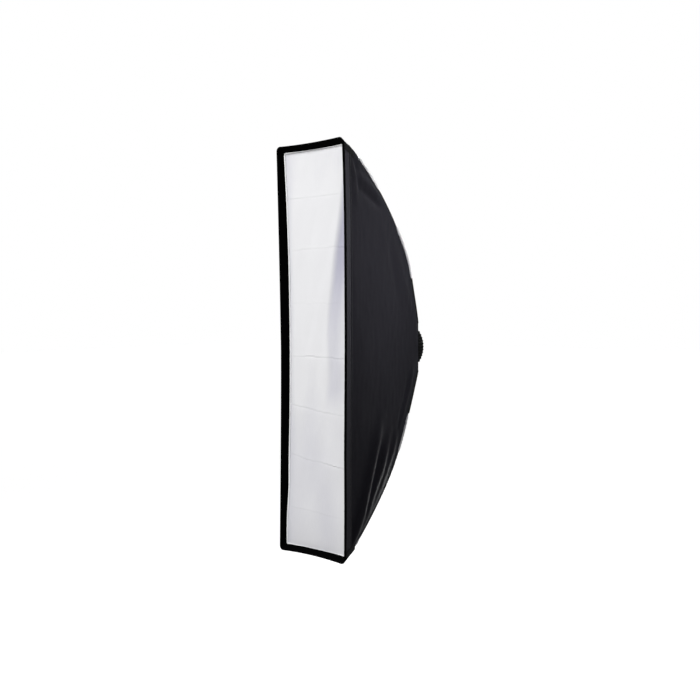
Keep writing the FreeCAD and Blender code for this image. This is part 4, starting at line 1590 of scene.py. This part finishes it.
class SOFTBOX_OT_stage(bpy.types.Operator):
    """Add the floor, the lamps and the photograph's camera"""

    bl_idname = "softbox.stage"
    bl_label = "Stage"

    def execute(self, context):
        scene = context.scene
        scene.view_settings.view_transform = "Standard"
        self.camera(scene)
        self.world(scene)
        self.floor()
        settings = stage_settings()
        self.lamp("key", (-0.6, -4.6, 3.3), (0, -0.5, 0.15), (2.4, 1.8), settings.key, 70)
        self.lamp("side", (1.35, -0.2, 1.2), (0.12, -0.25, 0.3), (0.5, 0.5), settings.side, 40)
        self.lamp("graze", (0.035, 1.0, -0.82), (0.12, -0.33, -0.44), (0.2, 0.2), settings.graze, 60)
        self.lamp("rear", (-2.6, 2.9, 1.6), (-0.05, -0.2, 0), (1.6, 1.6), settings.rear, 90)
        self.lamp("back", (1.6, 2.2, 1.7), (0.1, -0.25, 0.1), (1.2, 1.2), settings.back, 100)
        return {"FINISHED"}

    def camera(self, scene):
        data = bpy.data.cameras.new("photograph")
        data.sensor_width = 36
        data.lens = 36 * PHOTO_LENS / PHOTO_SIDE
        data.clip_end = 50
        eye = bpy.data.objects.new("photograph", data)
        eye.location = CAMERA_AT
        eye.rotation_euler = CAMERA_LOOKS.to_track_quat("-Z", "Y").to_euler()
        eye.rotation_euler.rotate_axis("Z", math.radians(CAMERA_ROLL))
        scene.collection.objects.link(eye)
        scene.camera = eye

    def world(self, scene):
        world = bpy.data.worlds.new("studio")
        world.use_nodes = True
        tree = world.node_tree
        background = tree.nodes["Background"]
        path = tree.nodes.new("ShaderNodeLightPath")
        seen = backdrop_rays(tree, path)
        light = stage_settings().world
        strength = math_node(tree, "MULTIPLY_ADD", seen, 1 - light, light)
        tree.links.new(strength, background.inputs["Strength"])
        background.inputs["Color"].default_value = (1, 1, 1, 1)
        scene.world = world

    def floor(self):
        size, level = 30, stage_settings().floor
        corners = ((-size, -size), (size, -size), (size, size), (-size, size))
        made = new_object("floor", [(x, y, level) for x, y in corners], [(0, 1, 2, 3)])
        surface, tree, shader = blank_material("pale floor")
        shader.inputs["Base Color"].default_value = (0.6, 0.6, 0.6, 1)
        shader.inputs["Roughness"].default_value = 0.9
        path = tree.nodes.new("ShaderNodeLightPath")
        glow = tree.nodes.new("ShaderNodeEmission")
        seen = math_node(tree, "MULTIPLY", backdrop_rays(tree, path), 0.92)
        tree.links.new(seen, glow.inputs["Strength"])
        both = tree.nodes.new("ShaderNodeAddShader")
        tree.links.new(shader.outputs[0], both.inputs[0])
        tree.links.new(glow.outputs[0], both.inputs[1])
        tree.links.new(both.outputs[0], tree.nodes["Material Output"].inputs["Surface"])
        made.data.materials.append(surface)

    def lamp(self, name, place, target, extent, power, spread):
        data = bpy.data.lights.new(name, "AREA")
        data.shape = "RECTANGLE"
        data.size, data.size_y = extent
        data.energy = power
        data.spread = math.radians(spread)
        made = bpy.data.objects.new(name, data)
        made.location = place
        made.rotation_euler = (Vector(target) - Vector(place)).to_track_quat("-Z", "Y").to_euler()
        bpy.context.scene.collection.objects.link(made)


class SOFTBOX_PT_panel(bpy.types.Panel):
    """Lists the softbox's pieces"""

    bl_label = "Softbox"
    bl_idname = "SOFTBOX_PT_panel"
    bl_space_type = "VIEW_3D"
    bl_region_type = "UI"
    bl_category = "Softbox"

    def draw(self, context):
        for operator in PIECES:
            self.layout.operator(operator.bl_idname)
        for name in SETTINGS:
            box = self.layout.box()
            group = getattr(context.scene, name)
            for prop in group.__annotations__:
                box.prop(group, prop)


PIECES = (
    SOFTBOX_OT_side_panels,
    SOFTBOX_OT_end_panels,
    SOFTBOX_OT_rod_sleeves,
    SOFTBOX_OT_front_lip,
    SOFTBOX_OT_white_front,
    SOFTBOX_OT_hook_tapes,
    SOFTBOX_OT_stitches,
    SOFTBOX_OT_inner_baffle,
    SOFTBOX_OT_corner_pockets,
    SOFTBOX_OT_neck,
    SOFTBOX_OT_hardware,
    SOFTBOX_OT_stage,
)
SETTINGS = {
    "softbox_shell": ShellSettings,
    "softbox_front": FrontSettings,
    "softbox_finish": FinishSettings,
    "softbox_stage": StageSettings,
}


def register():
    for cls in (*SETTINGS.values(), *PIECES, SOFTBOX_PT_panel):
        bpy.utils.register_class(cls)
    for name, cls in SETTINGS.items():
        setattr(bpy.types.Scene, name, PointerProperty(type=cls))


def unregister():
    for name in SETTINGS:
        delattr(bpy.types.Scene, name)
    for cls in reversed((*SETTINGS.values(), *PIECES, SOFTBOX_PT_panel)):
        bpy.utils.unregister_class(cls)


def main():
    register()
    for operator in PIECES:
        area, name = operator.bl_idname.split(".")
        getattr(getattr(bpy.ops, area), name)()


if __name__ == "__main__":
    main()
